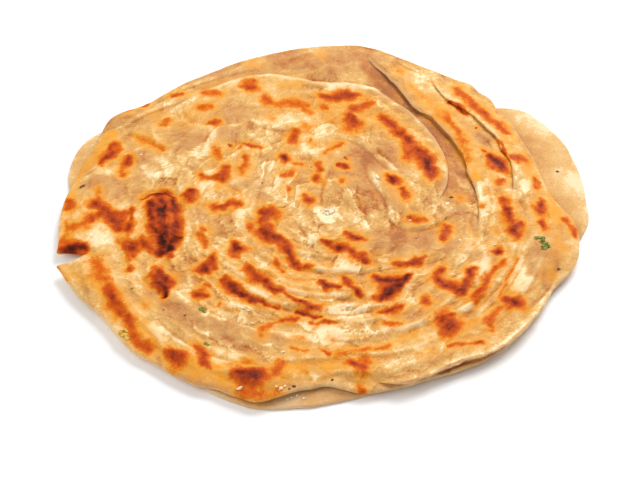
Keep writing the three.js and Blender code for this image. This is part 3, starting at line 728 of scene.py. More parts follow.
def in_areas(areas: tuple, x: Field, y: Field) -> Field:
    """Strength of the areas over the plan, with soft wandering borders.

    Args:
        areas: middle, half sizes, turn and strength of each.
        x: places in mm.
        y: places in mm.

    Returns:
        Numbers from 0 to the greatest strength.
    """
    wander_x = x + 2.2 * Ripple(8).over(x, y, 7, 3)
    wander_y = y + 2.2 * Ripple(9).over(x, y, 7, 3)
    most = np.zeros_like(x)
    for at, half, turn, strength in areas:
        along, across = in_oval(wander_x, wander_y, at, half, turn)
        most = np.maximum(most, strength * smoothstep(1.45, 0.55, np.hypot(along, across)))
    return most


COIL_EYE = (3.0, 4.0)


@dataclass(frozen=True)
class Flakes:
    """Broken scales of leaf that lie like shingles, rising outwards from the coil's eye."""

    seed: int
    spacing: float
    stretch: float
    period: int = 97

    def spread(self, x: Field, y: Field) -> tuple[Field, Field, Field]:
        """Flakes over the plan.

        Args:
            x: places in mm.
            y: places in mm.

        Returns:
            Height from about -1 to 1, paleness of the flake from -1 to 1, and a rim value
            that is positive on the upper side of a break and negative on its lower side.
        """
        size = (4, self.period, self.period)
        chance = np.random.default_rng(self.seed).uniform(-1.0, 1.0, size)
        bend_x = x + 0.34 * self.spacing * Ripple(self.seed + 1).over(x, y, self.spacing, 3)
        bend_y = y + 0.34 * self.spacing * Ripple(self.seed + 2).over(x, y, self.spacing, 3)
        reach = np.hypot(x - COIL_EYE[0], y - COIL_EYE[1]) + 1e-6
        out_x = (x - COIL_EYE[0]) / reach
        out_y = (y - COIL_EYE[1]) / reach
        column = np.floor(bend_x / self.spacing).astype(int)
        row = np.floor(bend_y / self.spacing).astype(int)
        first = np.full(x.shape, FAR)
        second = np.full(x.shape, FAR)
        height = np.zeros_like(x)
        other = np.zeros_like(x)
        pale = np.zeros_like(x)
        for across in range(-3, 4):
            for along in range(-3, 4):
                i = (column + across) % self.period
                j = (row + along) % self.period
                gap_x = bend_x - (column + across + 0.5 + 0.48 * chance[0, i, j]) * self.spacing
                gap_y = bend_y - (row + along + 0.5 + 0.48 * chance[1, i, j]) * self.spacing
                outward = gap_x * out_x + gap_y * out_y
                sideways = gap_y * out_x - gap_x * out_y
                gap = np.hypot(outward, sideways / self.stretch) / self.spacing
                level = 0.55 * chance[2, i, j] + 0.55 * np.clip(outward / self.spacing, -1, 1)
                nearer = gap < first
                runner = ~nearer & (gap < second)
                second = np.where(nearer, first, np.where(runner, gap, second))
                other = np.where(nearer, height, np.where(runner, level, other))
                first = np.where(nearer, gap, first)
                height = np.where(nearer, level, height)
                pale = np.where(nearer, chance[3, i, j], pale)
        seam = np.exp(-(second - first) * 8.0)
        rim = seam * np.clip(2.0 * (height - other), -1.0, 1.0)
        return height, pale, rim


WIDE_FLAKES = Flakes(221, 13.0, 2.2)
BROAD_FLAKES = Flakes(201, 5.6, 2.2)
SMALL_FLAKES = Flakes(211, 2.4, 1.7)


@dataclass(frozen=True)
class Surface:
    """Top of the bread as fields over the plan: its height and how it is browned."""

    top: float = 6.3
    coil_pitch: float = 8.6
    coil_step: float = 0.8
    fine_pitch: float = 2.9
    fine_step: float = 0.3
    mark_wander: float = 0.9
    mark_core: float = 0.58
    mark_fringe: float = 0.34
    glow_reach: float = 2.1
    gold: float = 1.995

    def coil(self, x: Field, y: Field) -> tuple[Field, Field]:
        """Coil of thin leaves: each turn ramps up outwards and drops at its edge.

        Args:
            x: places in mm.
            y: places in mm.

        Returns:
            Heights in mm, and how near each place is to the top of a turn, from -0.6 in its
            valley to 1 on its crest.
        """
        dx = x - COIL_EYE[0]
        dy = y - COIL_EYE[1]
        radius = np.hypot(dx, dy)
        turn = np.arctan2(dy, dx) / TAU
        wander = 3.4 * Ripple(3).over(x, y, 36, 2) + 1.5 * Ripple(4).over(x, y, 9, 2)
        phase = ((radius + wander) / self.coil_pitch - turn) % 1.0
        ramp = np.where(phase < 0.86, (phase / 0.86) ** 1.4, (1 - phase) / 0.14)
        fine_wander = 1.6 * Ripple(5).over(x, y, 12, 3)
        fine_phase = ((radius + fine_wander) / self.fine_pitch - 3 * turn) % 1.0
        fine = np.where(fine_phase < 0.75, fine_phase / 0.75, (1 - fine_phase) / 0.25)
        near_front = smoothstep(30.0, -25.0, y - 0.25 * x)
        grown = smoothstep(4.0, 14.0, radius) * smoothstep(112.0, 84.0, np.hypot(x, y))
        patchy = np.clip(0.62 + 0.6 * Ripple(6).over(x, y, 15, 2), 0.08, 1.3)
        strength = grown * patchy * (0.42 + 0.58 * near_front)
        height = strength * (self.coil_step * (ramp - 0.45) + self.fine_step * (fine - 0.5))
        crest = strength * (smoothstep(0.55, 0.95, ramp) - 0.6 * smoothstep(0.4, 0.05, ramp))
        return height, crest

    def flaky(self, x: Field, y: Field) -> Field:
        """How rough with broken flakes the top is: the outer ring and bare dough less.

        Args:
            x: places in mm.
            y: places in mm.

        Returns:
            Numbers from 0 to 1.
        """
        reach = np.hypot(x / 1.04, y / 0.92) + 6.0 * Ripple(35).over(x, y, 18, 2)
        bare = np.clip(in_areas(BARE_DOUGH_AND_VALLEY_SHADE, x, y), 0.0, 1.0)
        return (0.3 + 0.7 * smoothstep(86.0, 58.0, reach)) * (1.0 - 0.8 * bare)

    def height(self, x: Field, y: Field) -> Field:
        """Height of the top above the table.

        Args:
            x: places in mm.
            y: places in mm.

        Returns:
            Heights in mm.
        """
        bare = in_areas(BARE_DOUGH_AND_VALLEY_SHADE, x, y)
        rough = self.flaky(x, y)
        coil, _ = self.coil(x, y)
        # slow waves, the coil, and then what is placed one by one
        height = self.top + 0.55 * Ripple(11).over(x, y, 46, 2)
        height += coil * (1.0 - 0.75 * np.clip(bare, 0, 1))
        for shape in (*LEAF_EDGES, *BLISTERS, *GROOVES):
            height += shape.relief(x, y)
        # flakes of three sizes, lumps, pits and pimples, and wrinkles across bare dough
        wide, _, _ = WIDE_FLAKES.spread(x, y)
        broad, _, _ = BROAD_FLAKES.spread(x, y)
        small, _, _ = SMALL_FLAKES.spread(x, y)
        patchy = np.clip(0.6 + 0.7 * Ripple(18).over(x, y, 12, 2), 0.1, 1.2)
        height += rough * (0.42 * wide + patchy * (0.34 * broad + 0.17 * small))
        height += 0.24 * rough * Ripple(12).over(x, y, 4.2, 3)
        height += 0.12 * Ripple(17).over(x, y, 9.5, 2)
        pits = smoothstep(0.52, 0.85, Ripple(13).over(x, y, 2.1))
        pimples = smoothstep(0.5, 0.9, Ripple(14).over(x, y, 2.6))
        height += rough * (0.2 * pimples - 0.22 * pits)
        height += 0.1 * bare * Ripple(15).layered((x + y) / 3.2, (x - y) / 14, 2)
        return height

    def crust(self, x: Field, y: Field) -> tuple[Field, Field, Field]:
        """What the griddle did to each place.

        Args:
            x: places in mm.
            y: places in mm.

        Returns:
            Browning (0.2 amber, 0.4 orange, 0.6 rust, 0.8 maroon, 1 black), golden glow from
            0 to 1, and closeness to a browned place from 0 to 1.
        """
        wander_x, wander_y = (
            place + self.mark_wander * Ripple(seed).over(x, y, 4.2, 3)
            + 0.3 * Ripple(seed + 2).over(x, y, 1.1)
            for place, seed in ((x, 21), (y, 22)))
        patchy = np.clip(0.85 + 0.5 * Ripple(25).over(x, y, 7, 3), 0.2, 1.2)
        golden = np.zeros_like(x)
        for points, width, strength in GOLD_AREAS:
            gap = np.abs(nearest_on(smooth_line(points, 3.0), wander_x, wander_y)[0])
            area = strength * smoothstep(0.62 * width, 0.1 * width, gap)
            golden = np.maximum(golden, self.gold * area * patchy)
        _, crest = self.coil(x, y)
        golden = np.maximum(golden, 0.7 * crest * np.clip(patchy + 0.5 * self.streaks(x, y), 0, 1))
        browned = np.zeros_like(x)
        close = np.zeros_like(x)
        uneven = 0.9 + 0.22 * Ripple(26).over(x, y, 2.4, 3)
        swell = 1.0 + 0.28 * Ripple(33).over(x, y, 4.6, 2)
        for heat, *points in FRY_MARKS:
            stroke = smooth_line(tuple(points), 1.5)
            near = close_to(stroke, x, y, stroke[:, 2].max() + 16.0)
            gap, share = nearest_on(stroke[:, :2], wander_x[near], wander_y[near])
            width = np.interp(share * (len(stroke) - 1), np.arange(len(stroke)), stroke[:, 2])
            gap = np.abs(gap)
            # a dark core, a softer fringe, and a golden glow past them
            half = 0.5 * width * swell[near]
            core = np.exp(-(gap / (1.04 * half)) ** 2.0)
            fringe = np.exp(-(gap / (1.5 * half + 0.9)) ** 2.0)
            mark = heat * uneven[near] * (self.mark_core * core + self.mark_fringe * fringe)
            past = np.maximum(gap - 0.8 * half, 0.0)
            glow = np.exp(-(past / (self.glow_reach + 0.3 * width)) ** 1.4)
            browned[near] = np.maximum(browned[near], mark) + 0.2 * np.minimum(browned[near], mark)
            golden[near] = np.maximum(golden[near], (0.4 + 0.6 * heat) * glow)
            close[near] = np.maximum(close[near], np.exp(-past / 5.5))
        return browned, np.clip(golden, 0.0, 1.0), close

    def streaks(self, x: Field, y: Field) -> Field:
        """Blotches drawn out along the turns of the coil.

        Args:
            x: places in mm.
            y: places in mm.

        Returns:
            Numbers from -1 to 1.
        """
        dx = x - COIL_EYE[0]
        dy = y - COIL_EYE[1]
        turns = Ripple(30, 32)
        wander = 2.5 * Ripple(29).over(x, y, 14, 2)
        around = np.arctan2(dy, dx) / TAU * turns.cells
        return turns.layered((np.hypot(dx, dy) + wander) / 3.4, around, 3)

    def cream(self, x: Field, y: Field, close: Field) -> Field:
        """How pale the dough looks: its own tone plus the painted highlights and painted shade of
        edges, flakes, crests and grooves.

        Args:
            x: places in mm.
            y: places in mm.
            close: closeness to browned places, 0 to 1; the dough puffs and pales there.

        Returns:
            0 for tan dough, 1 for floury cream, with painted shade reaching below 0.
        """
        _, crest = self.coil(x, y)
        wide, _, wide_rim = WIDE_FLAKES.spread(x, y)
        broad, chance, broad_rim = BROAD_FLAKES.spread(x, y)
        small, _, small_rim = SMALL_FLAKES.spread(x, y)
        rough = 0.35 + 0.65 * self.flaky(x, y)
        # slow and quick blotches, a painted highlight on the coil's crests and painted shade in its
        # valleys, streaks and puffed dough beside the marks
        pale = 0.22 + 0.24 * Ripple(27).over(x, y, 12, 3) + 0.22 * Ripple(28).over(x, y, 3.4, 3)
        pale += 0.26 * crest + 0.08 * self.streaks(x, y) + 0.38 * close
        # each flake's level, which is partly random and partly painted light that pales its raised
        # outer side and darkens its tucked-under side, and its own tone; then a painted highlight
        # on its rim and painted shade in the break below it
        pale += rough * (0.3 * wide + 0.22 * broad + 0.12 * small + 0.08 * chance)
        pale += rough * (0.36 * wide_rim + 0.34 * broad_rim + 0.2 * small_rim)
        # floury patches paler and bare dough darker; the strongest bare areas, in the fold's
        # valley, are painted shade
        pale += 0.5 * in_areas(FLOURY_AREAS, x, y) - 0.27 * in_areas(BARE_DOUGH_AND_VALLEY_SHADE, x, y)
        # painted highlight on each leaf's lip and painted shade below it
        for edge in LEAF_EDGES:
            pale += edge.shade(x, y)
        # painted shade in the grooves, darker where they are deeper
        for groove in GROOVES:
            pale += 0.5 * groove.relief(x, y)
        return np.clip(pale, -0.7, 1.2)


# ------------------------------------------------------------------ meshes


def to_metres(x: Field, y: Field, z: Field) -> Field:
    """Plan places in mm as object places in metres."""
    return np.column_stack([x - PLAN_MIDDLE[0], y - PLAN_MIDDLE[1], z]) * MM


def move_vertices(mesh: bpy.types.Mesh, places: Field) -> None:
    """Put every vertex of a mesh at a new place."""
    mesh.vertices.foreach_set("co", places.astype(np.float32).ravel())
    mesh.update()


def vertex_places(mesh: bpy.types.Mesh) -> Field:
    """Places of a mesh's vertices.

    Args:
        mesh: the mesh.

    Returns:
        x, y, z rows.
    """
    flat = np.empty(len(mesh.vertices) * 3, dtype=np.float32)
    mesh.vertices.foreach_get("co", flat)
    return flat.reshape(-1, 3).astype(float)


def set_fields(mesh: bpy.types.Mesh, **fields: Field) -> None:
    """Store numbers per vertex under the names that the material reads.

    Args:
        mesh: the mesh.
        fields: the numbers of each name.
    """
    for name, values in fields.items():
        layer = mesh.attributes.new(name, "FLOAT", "POINT")
        layer.data.foreach_set("value", values.astype(np.float32))


def join_parts(name: str, parts: Iterable[bmesh.types.BMesh]) -> bpy.types.Mesh:
    """One mesh of several parts, which are freed.

    Args:
        name: name of the mesh.
        parts: the parts, in plan mm.

    Returns:
        The mesh, still in plan mm.
    """
    whole = bmesh.new()
    for part in parts:
        loose = bpy.data.meshes.new("part")
        part.to_mesh(loose)
        part.free()
        whole.from_mesh(loose)
        bpy.data.meshes.remove(loose)
    mesh = bpy.data.meshes.new(name)
    whole.to_mesh(mesh)
    whole.free()
    return mesh


def make_object(name: str, mesh: bpy.types.Mesh, material: bpy.types.Material) -> bpy.types.Object:
    """Put a mesh into the scene with one material and smooth shading.

    Args:
        name: name of the object.
        mesh: its mesh, in metres.
        material: its material.

    Returns:
        The new object.
    """
    mesh.materials.clear()
    mesh.materials.append(material)
    mesh.shade_smooth()
    thing = bpy.data.objects.new(name, mesh)
    bpy.context.scene.collection.objects.link(thing)
    return thing


def make_piece(mesh: bpy.types.Mesh, material: bpy.types.Material) -> bpy.types.Object:
    """Make a piece of a mesh, tie it to the bread's body and report it.

    Args:
        mesh: its mesh, in metres, with the piece's name.
        material: its material.

    Returns:
        The piece.
    """
    piece = make_object(mesh.name, mesh, material)
    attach(piece, "root")
    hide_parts("paratha")
    log.info("%s: %d faces", piece.name, len(mesh.polygons))
    return piece


@dataclass(frozen=True)
class RoundLeaf(ABC):
    """One round leaf of dough: a closed, thin, rolled-out disc with a rounded rim.

    Each vertex has a ring number: 0 on the top, then one for each of RIM_ANGLES down the rim,
    one for each of UNDER_INSETS below it, and CENTRE_RING for the middle of the underside.
    """

    name: str
    outline: Outline
    segments: int
    underside: float
    rim_round: float
    rim_fall: float
    fall_width: float
    browning: float
    shift_y: float

    RIM_ANGLES = (68, 46, 24, 2, -20, -42, -64, -84)
    UNDER_INSETS = (3.0, 7.0, 16.0, 34.0)
    SETTLE_WIDTH = 14.0
    CENTRE_RING = 99

    def blank(self) -> bmesh.types.BMesh:
        """Flat square sheet with skirts, still to be moved into place by its ring numbers.

        Returns:
            A closed mesh whose "ring" layer says which part of the rim a vertex is on.
        """
        bm = bmesh.new()
        ring = bm.verts.layers.int.new("ring")
        bmesh.ops.create_grid(bm, x_segments=self.segments, y_segments=self.segments, size=1.0)
        edges = [edge for edge in bm.edges if edge.is_boundary]
        skirts = range(1, len(self.RIM_ANGLES) + len(self.UNDER_INSETS) + 1)
        for number in (*skirts, self.CENTRE_RING):
            grown = bmesh.ops.extrude_edge_only(bm, edges=edges)["geom"]
            edges = [item for item in grown if isinstance(item, bmesh.types.BMEdge)]
            last = [item for item in grown if isinstance(item, bmesh.types.BMVert)]
            for vertex in last:
                vertex[ring] = number
        bmesh.ops.pointmerge(bm, verts=last, merge_co=(0.0, 0.0, 0.0))
        return bm

    def place(self, flat: Field, ring: Field, surface: Surface) -> Field:
        """Places of the vertices in the plan, in mm.

        Args:
            flat: x, y, z rows of the square blank, from -1 to 1.
            ring: ring number of each vertex.
            surface: the bread's top.

        Returns:
            x, y, z rows in mm.
        """
        # the square's rows become circles, so its grid fills the round leaf evenly
        a = flat[:, 0]
        b = flat[:, 1]
        wide = np.abs(a) > np.abs(b)
        share = np.where(wide, a, b)
        safe_a = np.where(np.abs(a) < TINY, TINY, a)
        safe_b = np.where(np.abs(b) < TINY, TINY, b)
        angle = np.where(wide, math.pi / 4 * b / safe_a, math.pi / 2 - math.pi / 4 * a / safe_b)
        angle = self.crowd(np.where(share < 0, angle + math.pi, angle) % TAU)
        inner = self.outline.radius(angle) - self.rim_round
        radius = np.abs(share) * inner
        x = radius * np.cos(angle)
        y = radius * np.sin(angle)
        z = self.top_height(x, y, inner - radius, surface)
        edge_top = self.top_height(inner * np.cos(angle), inner * np.sin(angle),
                                   np.zeros_like(x), surface)
        under = self.under_height(angle)
        for number, degrees in enumerate(self.RIM_ANGLES, start=1):
            here = ring == number
            lean = math.radians(degrees)
            out = inner[here] + self.rim_round * math.cos(lean)
            x[here] = out * np.cos(angle[here])
            y[here] = out * np.sin(angle[here])
            z[here] = 0.5 * ((edge_top + under)[here]
                             + (edge_top - under)[here] * math.sin(lean))
        for number, inset in enumerate(self.UNDER_INSETS, start=len(self.RIM_ANGLES) + 1):
            here = ring == number
            out = inner[here] - inset
            x[here] = out * np.cos(angle[here])
            y[here] = out * np.sin(angle[here])
            settled = min(1.0, inset / self.SETTLE_WIDTH)
            z[here] = under[here] * (1 - settled) + self.underside * settled
        centre = ring == self.CENTRE_RING
        x[centre] = 0.0
        y[centre] = 0.0
        z[centre] = self.underside
        return np.column_stack([x, y + self.shift_y, z])

    def crowd(self, angle: Field) -> Field:
        """Move angles towards the tear, so that its lips get enough vertices.

        Args:
            angle: angles in radians.

        Returns:
            The moved angles.
        """
        if not self.outline.torn:
            return angle
        width = math.radians(5.0)
        aside = (angle - math.radians(TEAR_ANGLE) + math.pi) % TAU - math.pi
        return angle - 0.66 * width * np.tanh(aside / width) * np.exp(-(aside / 0.7) ** 2)

    def fall(self, from_rim: Field) -> Field:
        """How far the top falls towards the rim, in mm."""
        return self.rim_fall * (1.0 - smoothstep(0.0, self.fall_width, from_rim))

    @abstractmethod
    def under_height(self, angle: Field) -> Field:
        """Height of the rim's underside, in mm, at angles in radians."""

    @abstractmethod
    def top_height(self, x: Field, y: Field, from_rim: Field, surface: Surface) -> Field:
        """Height of the leaf's top, in mm, at places in mm and their distance to the rim."""

    @abstractmethod
    def paleness(self, x: Field, y: Field, close: Field, surface: Surface) -> Field:
        """How pale the dough looks, painted highlights and shade included, at places in mm that are
        more or less close to a mark.
        """

    @abstractmethod
    def rawness(self, x: Field, y: Field) -> Field:
        """How smooth and unfried the dough is at places in mm."""

    def build(self, surface: Surface, material: bpy.types.Material) -> bpy.types.Object:
        """Make the leaf.

        Args:
            surface: the bread's top.
            material: its crust.

        Returns:
            The finished piece.
        """
        bm = self.blank()
        layer = bm.verts.layers.int["ring"]
        ring = np.array([vertex[layer] for vertex in bm.verts])
        bmesh.ops.recalc_face_normals(bm, faces=bm.faces)
        mesh = bpy.data.meshes.new(self.name)
        bm.to_mesh(mesh)
        bm.free()
        x, y, z = self.place(vertex_places(mesh), ring, surface).T
        move_vertices(mesh, to_metres(x, y, z))
        browned, golden, close = surface.crust(x, y)
        below = (ring > len(self.RIM_ANGLES) - 3).astype(float)
        kept = self.browning * (1 - 0.7 * below)
        # painted highlight on the outer face of the rounded rim
        rim = np.clip(ring / 4.0, 0, 1) * (1 - below)
        set_fields(mesh, browned=browned * kept, golden=golden * kept, rim=rim,
                   cream=self.paleness(x, y, close, surface), raw=self.rawness(x, y))
        return make_piece(mesh, material)


@dataclass(frozen=True)
class MainDisc(RoundLeaf):
    """The coiled upper disc, whose rim lifts in places."""

    name: str = "main_disc"
    outline: Outline = Outline(DISC_STATIONS, torn=True)
    segments: int = 280
    underside: float = 1.1
    rim_round: float = 1.5
    rim_fall: float = 1.4
    fall_width: float = 7.0
    browning: float = 1.0
    shift_y: float = 0.0

    UNDER_LIFTS = ((262, 16, 1.5), (318, 20, 1.0), (196, 9, 1.2), (350, 10, 0.9))
    TOP_LIFTS = ((200, 14, 0.9), (262, 20, 0.8), (320, 24, 0.5), (80, 26, 0.6))

    def under_height(self, angle: Field) -> Field:
        """Height of the rim's underside, which lifts off the leaf below in places.

        Args:
            angle: angles in radians.

        Returns:
            Heights in mm.
        """
        cells = angle / TAU * self.outline.rim_cells
        lift = 0.35 * Ripple(41).layered(cells, np.zeros_like(angle), 2)
        lift += bumps_at(np.degrees(angle), self.UNDER_LIFTS)
        return self.underside + 1.0 + np.clip(lift, -0.4, 2.4)

    def top_height(self, x: Field, y: Field, from_rim: Field, surface: Surface) -> Field:
        """Height of the disc's top.

        Args:
            x: places in mm.
            y: places in mm.
            from_rim: distance to the start of the rounded rim.
            surface: the bread's top.

        Returns:
            Heights in mm.
        """
        degrees = np.degrees(np.arctan2(y, x)) % 360.0
        lifted = smoothstep(26.0, 0.0, from_rim) * bumps_at(degrees, self.TOP_LIFTS)
        return surface.height(x, y) + lifted - self.fall(from_rim)

    def paleness(self, x: Field, y: Field, close: Field, surface: Surface) -> Field:
        """How pale the dough looks on the disc, painted highlights and shade included."""
        return surface.cream(x, y, close)

    def rawness(self, x: Field, y: Field) -> Field:
        """How smooth and unfried the disc is."""
        return np.clip(in_areas(BARE_DOUGH_AND_VALLEY_SHADE, x, y), 0.0, 0.5)


@dataclass(frozen=True)
class LowerLeaf(RoundLeaf):
    """The thinner, paler leaf under the disc, flat on the table."""

    name: str = "lower_leaf"
    outline: Outline = Outline(LEAF_STATIONS, torn=False)
    segments: int = 170
    underside: float = 0.0
    rim_round: float = 1.1
    rim_fall: float = 0.7
    fall_width: float = 5.0
    browning: float = 0.25
    shift_y: float = 3.2
    top: float = 2.7

    def under_height(self, angle: Field) -> Field:
        """The table, all the way round."""
        return np.zeros_like(angle)

    def top_height(self, x: Field, y: Field, from_rim: Field, surface: Surface) -> Field:
        """Height of the leaf's top: slow waves, a fine grain and low puffs.

        Args:
            x: places in mm.
            y: places in mm.
            from_rim: distance to the start of the rounded rim.
            surface: the bread's top, which the leaf lies under; not used.

        Returns:
            Heights in mm.
        """
        wave = 0.3 * Ripple(42).over(x, y, 15, 3) + 0.07 * Ripple(43).over(x, y, 2.4, 2)
        puffs = 0.28 * smoothstep(0.45, 0.9, Ripple(45).over(x, y, 4.5))
        return self.top + wave + puffs - self.fall(from_rim)

    def paleness(self, x: Field, y: Field, close: Field, surface: Surface) -> Field:
        """How pale the dough is on the leaf: its outer rim, its left and its front most; the paler
        front is painted light where the disc's shadow falls.

        Args:
            x: places in mm.
            y: places in mm.
            close: closeness to browned places; not used, so they leave the leaf's colour alone.
            surface: the bread's top; not used.

        Returns:
            Numbers from 0 to 1.1.
        """
        pale = 0.24 + 0.36 * Ripple(44).over(x, y, 12, 4)
        pale += 0.5 * smoothstep(99.0, 112.0, np.hypot(x, y))
        pale += 0.25 * smoothstep(0.4, 0.8, Ripple(46).over(x, y, 3.6))
        # paler to the left, and paler to the front as painted light against the disc's shadow
        pale += 0.3 * smoothstep(-60.0, -90.0, x) + 0.5 * smoothstep(-40.0, -75.0, y)
        return np.clip(pale, 0.0, 1.1)

    def rawness(self, x: Field, y: Field) -> Field:
        """How smooth and unfried the leaf is: its front most."""
        return 0.45 + 0.75 * smoothstep(-50.0, -76.0, y)


@dataclass(frozen=True)
class LeafLips:
    """Thin free edges of the upper leaves, lying over the leaf below."""

    name: str = "leaf_lips"
    spacing: float = 0.62
    around: int = 22
    end_taper: float = 7.0

    def strip(self, edge: LeafEdge, surface: Surface, seed: int) -> bmesh.types.BMesh:
        """Closed flat tongue along one leaf edge.

        Args:
            edge: the leaf edge.
            surface: the bread's top.
            seed: number of the tongue, for its own raggedness.

        Returns:
            The tongue, in mm.
        """
        # frame of each station on the edge
        line = smooth_line(edge.points, self.spacing)
        steps = np.linalg.norm(np.diff(line, axis=0), axis=1)
        travelled = np.concatenate([[0.0], np.cumsum(steps)])
        tangent = np.gradient(line, axis=0)
        tangent /= np.linalg.norm(tangent, axis=1)[:, None]
        inward = np.column_stack([-tangent[:, 1], tangent[:, 0]]) * edge.side.value
        count = len(line)
        bm = bmesh.new()
        bmesh.ops.create_grid(bm, x_segments=count - 1, y_segments=self.around, size=0.5)
        flat = np.array([vertex.co[:2] for vertex in bm.verts]) + 0.5
        row = np.rint(flat[:, 0] * (count - 1)).astype(int)
        lean = flat[:, 1] * TAU
        # how far the tongue reaches over the line and back under the upper leaf
        ends = np.minimum(travelled, travelled[-1] - travelled)[row]
        taper = smoothstep(0.0, self.end_taper, ends)
        cells = travelled[row]
        slow = Ripple(50 + seed).layered(cells / 5.0, cells * 0 + 0.5, 2)
        quick = Ripple(90 + seed).layered(cells / 1.3, cells * 0 + 0.5, 2)
        ragged = 1.0 + edge.ragged * (0.42 * slow + 0.22 * quick)
        overhang = edge.overhang * ragged * taper
        root = edge.root * (0.25 + 0.75 * taper)
        inside = 0.5 * (root - overhang) + 0.5 * (root + overhang) * np.cos(lean)
        x, y = (line[row] + inward[row] * inside[:, None]).T
        held = line[row] + inward[row] * np.maximum(inside, 0.9)[:, None]
        # its height: it follows the upper leaf, droops at the lip and is buried at the root
        level = surface.height(held[:, 0], held[:, 1])
        bury = smoothstep(0.35, 1.0, inside / np.maximum(root, 0.1))
        droop = 0.10 * edge.step * smoothstep(0.0, -2.0, inside)
        face = np.sign(np.sin(lean)) * np.abs(np.sin(lean)) ** 0.5
        thick = edge.thickness * (0.25 + 0.75 * taper) * 0.5
        lift = 0.10 - edge.thickness * 0.5 - 0.45 * bury - 0.6 * (1 - taper)
        z = level + lift - droop + face * thick
        z += 0.16 * taper * Ripple(70 + seed).layered(cells / 3.4, inside / 3.0, 2)
        # painted highlight along the lip's free edge, kept in the rim layer
        from_lip = (inside + overhang) / np.maximum(taper, 0.05)
        pale = smoothstep(1.3, 0.2, from_lip) * taper
        rim = bm.verts.layers.float.new("rim")
        for vertex, place, shade in zip(bm.verts, np.column_stack([x, y, z]), pale):
            vertex.co = place
            vertex[rim] = shade
        bmesh.ops.remove_doubles(bm, verts=bm.verts, dist=0.004)
        loops = [side for side in bm.edges if side.is_boundary]
        bmesh.ops.holes_fill(bm, edges=loops, sides=0)
        bmesh.ops.recalc_face_normals(bm, faces=bm.faces)
        return bm

    def build(self, surface: Surface, material: bpy.types.Material) -> bpy.types.Object:
        """Join all tongues into one piece.

        Args:
            surface: the bread's top.
            material: its crust.

        Returns:
            The finished piece.
        """
        mesh = join_parts(self.name, (self.strip(edge, surface, seed)
                                      for seed, edge in enumerate(LEAF_EDGES) if edge.overhang))
        x, y, z = vertex_places(mesh).T
        move_vertices(mesh, to_metres(x, y, z))
        browned, golden, close = surface.crust(x, y)
        set_fields(mesh, browned=browned, golden=golden, cream=surface.cream(x, y, close),
                   raw=in_areas(BARE_DOUGH_AND_VALLEY_SHADE, x, y) * 0.4)
        return make_piece(mesh, material)


@dataclass(frozen=True)
class Scatter:
    """Small loose bits lying on the bread, joined into one piece.

    Each bit is x, y, length, width and thickness in mm, and turn in degrees.
    """

    name: str
    slot: str
    bits: tuple[tuple[float, ...], ...]
    seed: int
    lobed: float = 0.0
    rough: float = 0.5
    sunk: float = 0.3

    def bit(self, number: int, row: tuple[float, ...], ground: float) -> bmesh.types.BMesh:
        """One rounded, uneven bit, in mm.

        Args:
            number: its place in the list, for its own shape.
            row: its numbers.
            ground: height of the crust below it.

        Returns:
            The bit.
        """
        x, y, length, width, thick, turn = row
        bm = bmesh.new()
        bmesh.ops.create_icosphere(bm, subdivisions=3, radius=1.0)
        ball = np.array([vertex.co for vertex in bm.verts])
        seed = self.seed + 7 * number
        around = np.arctan2(ball[:, 1], ball[:, 0])
        lobes = 1.0 + self.lobed * np.cos(5.0 * around + seed)
        dented = 1.0 + self.rough * Ripple(seed).layered(
            1.7 * ball[:, 0] + 9.0, 1.7 * ball[:, 1] + 1.3 * ball[:, 2] + 9.0, 3)
        a = ball[:, 0] * lobes * dented * length / 2
        b = ball[:, 1] * lobes * dented * width / 2
        c = ball[:, 2] * dented * thick / 2 + 0.12 * self.lobed * (a * a - b * b) / max(width, 1.0)
        for vertex, place in zip(bm.verts, np.column_stack([a, b, c])):
            vertex.co = place
        tilt = Euler((0.12 * math.sin(seed), 0.12 * math.cos(seed), math.radians(turn)))
        bmesh.ops.transform(bm, matrix=tilt.to_matrix().to_4x4(), verts=bm.verts)
        lift = ground + thick * (0.5 - self.sunk)
        bmesh.ops.transform(bm, matrix=Matrix.Translation((x, y, lift)), verts=bm.verts)
        return bm

    def ground_at(self, grounds: list[BVHTree], x: float, y: float) -> float:
        """Height of the crust below a place.

        Args:
            grounds: the surfaces that a bit may lie on.
            x: the place in mm.
            y: the place in mm.

        Returns:
            The height in mm.
        """
        above = Vector(((x - PLAN_MIDDLE[0]) * MM, (y - PLAN_MIDDLE[1]) * MM, 0.05))
        hits = [ground.ray_cast(above, Vector((0.0, 0.0, -1.0)))[0] for ground in grounds]
        return max(hit.z for hit in hits if hit) / MM

    def build(self, grounds: list[BVHTree], material: bpy.types.Material) -> bpy.types.Object:
        """Join the bits.

        Args:
            grounds: the surfaces they lie on.
            material: their material.

        Returns:
            The finished piece.
        """
        mesh = join_parts(self.name, (self.bit(number, row, self.ground_at(grounds, *row[:2]))
                                      for number, row in enumerate(self.bits)))
        x, y, z = vertex_places(mesh).T
        move_vertices(mesh, to_metres(x, y, z))
        return make_piece(mesh, material)


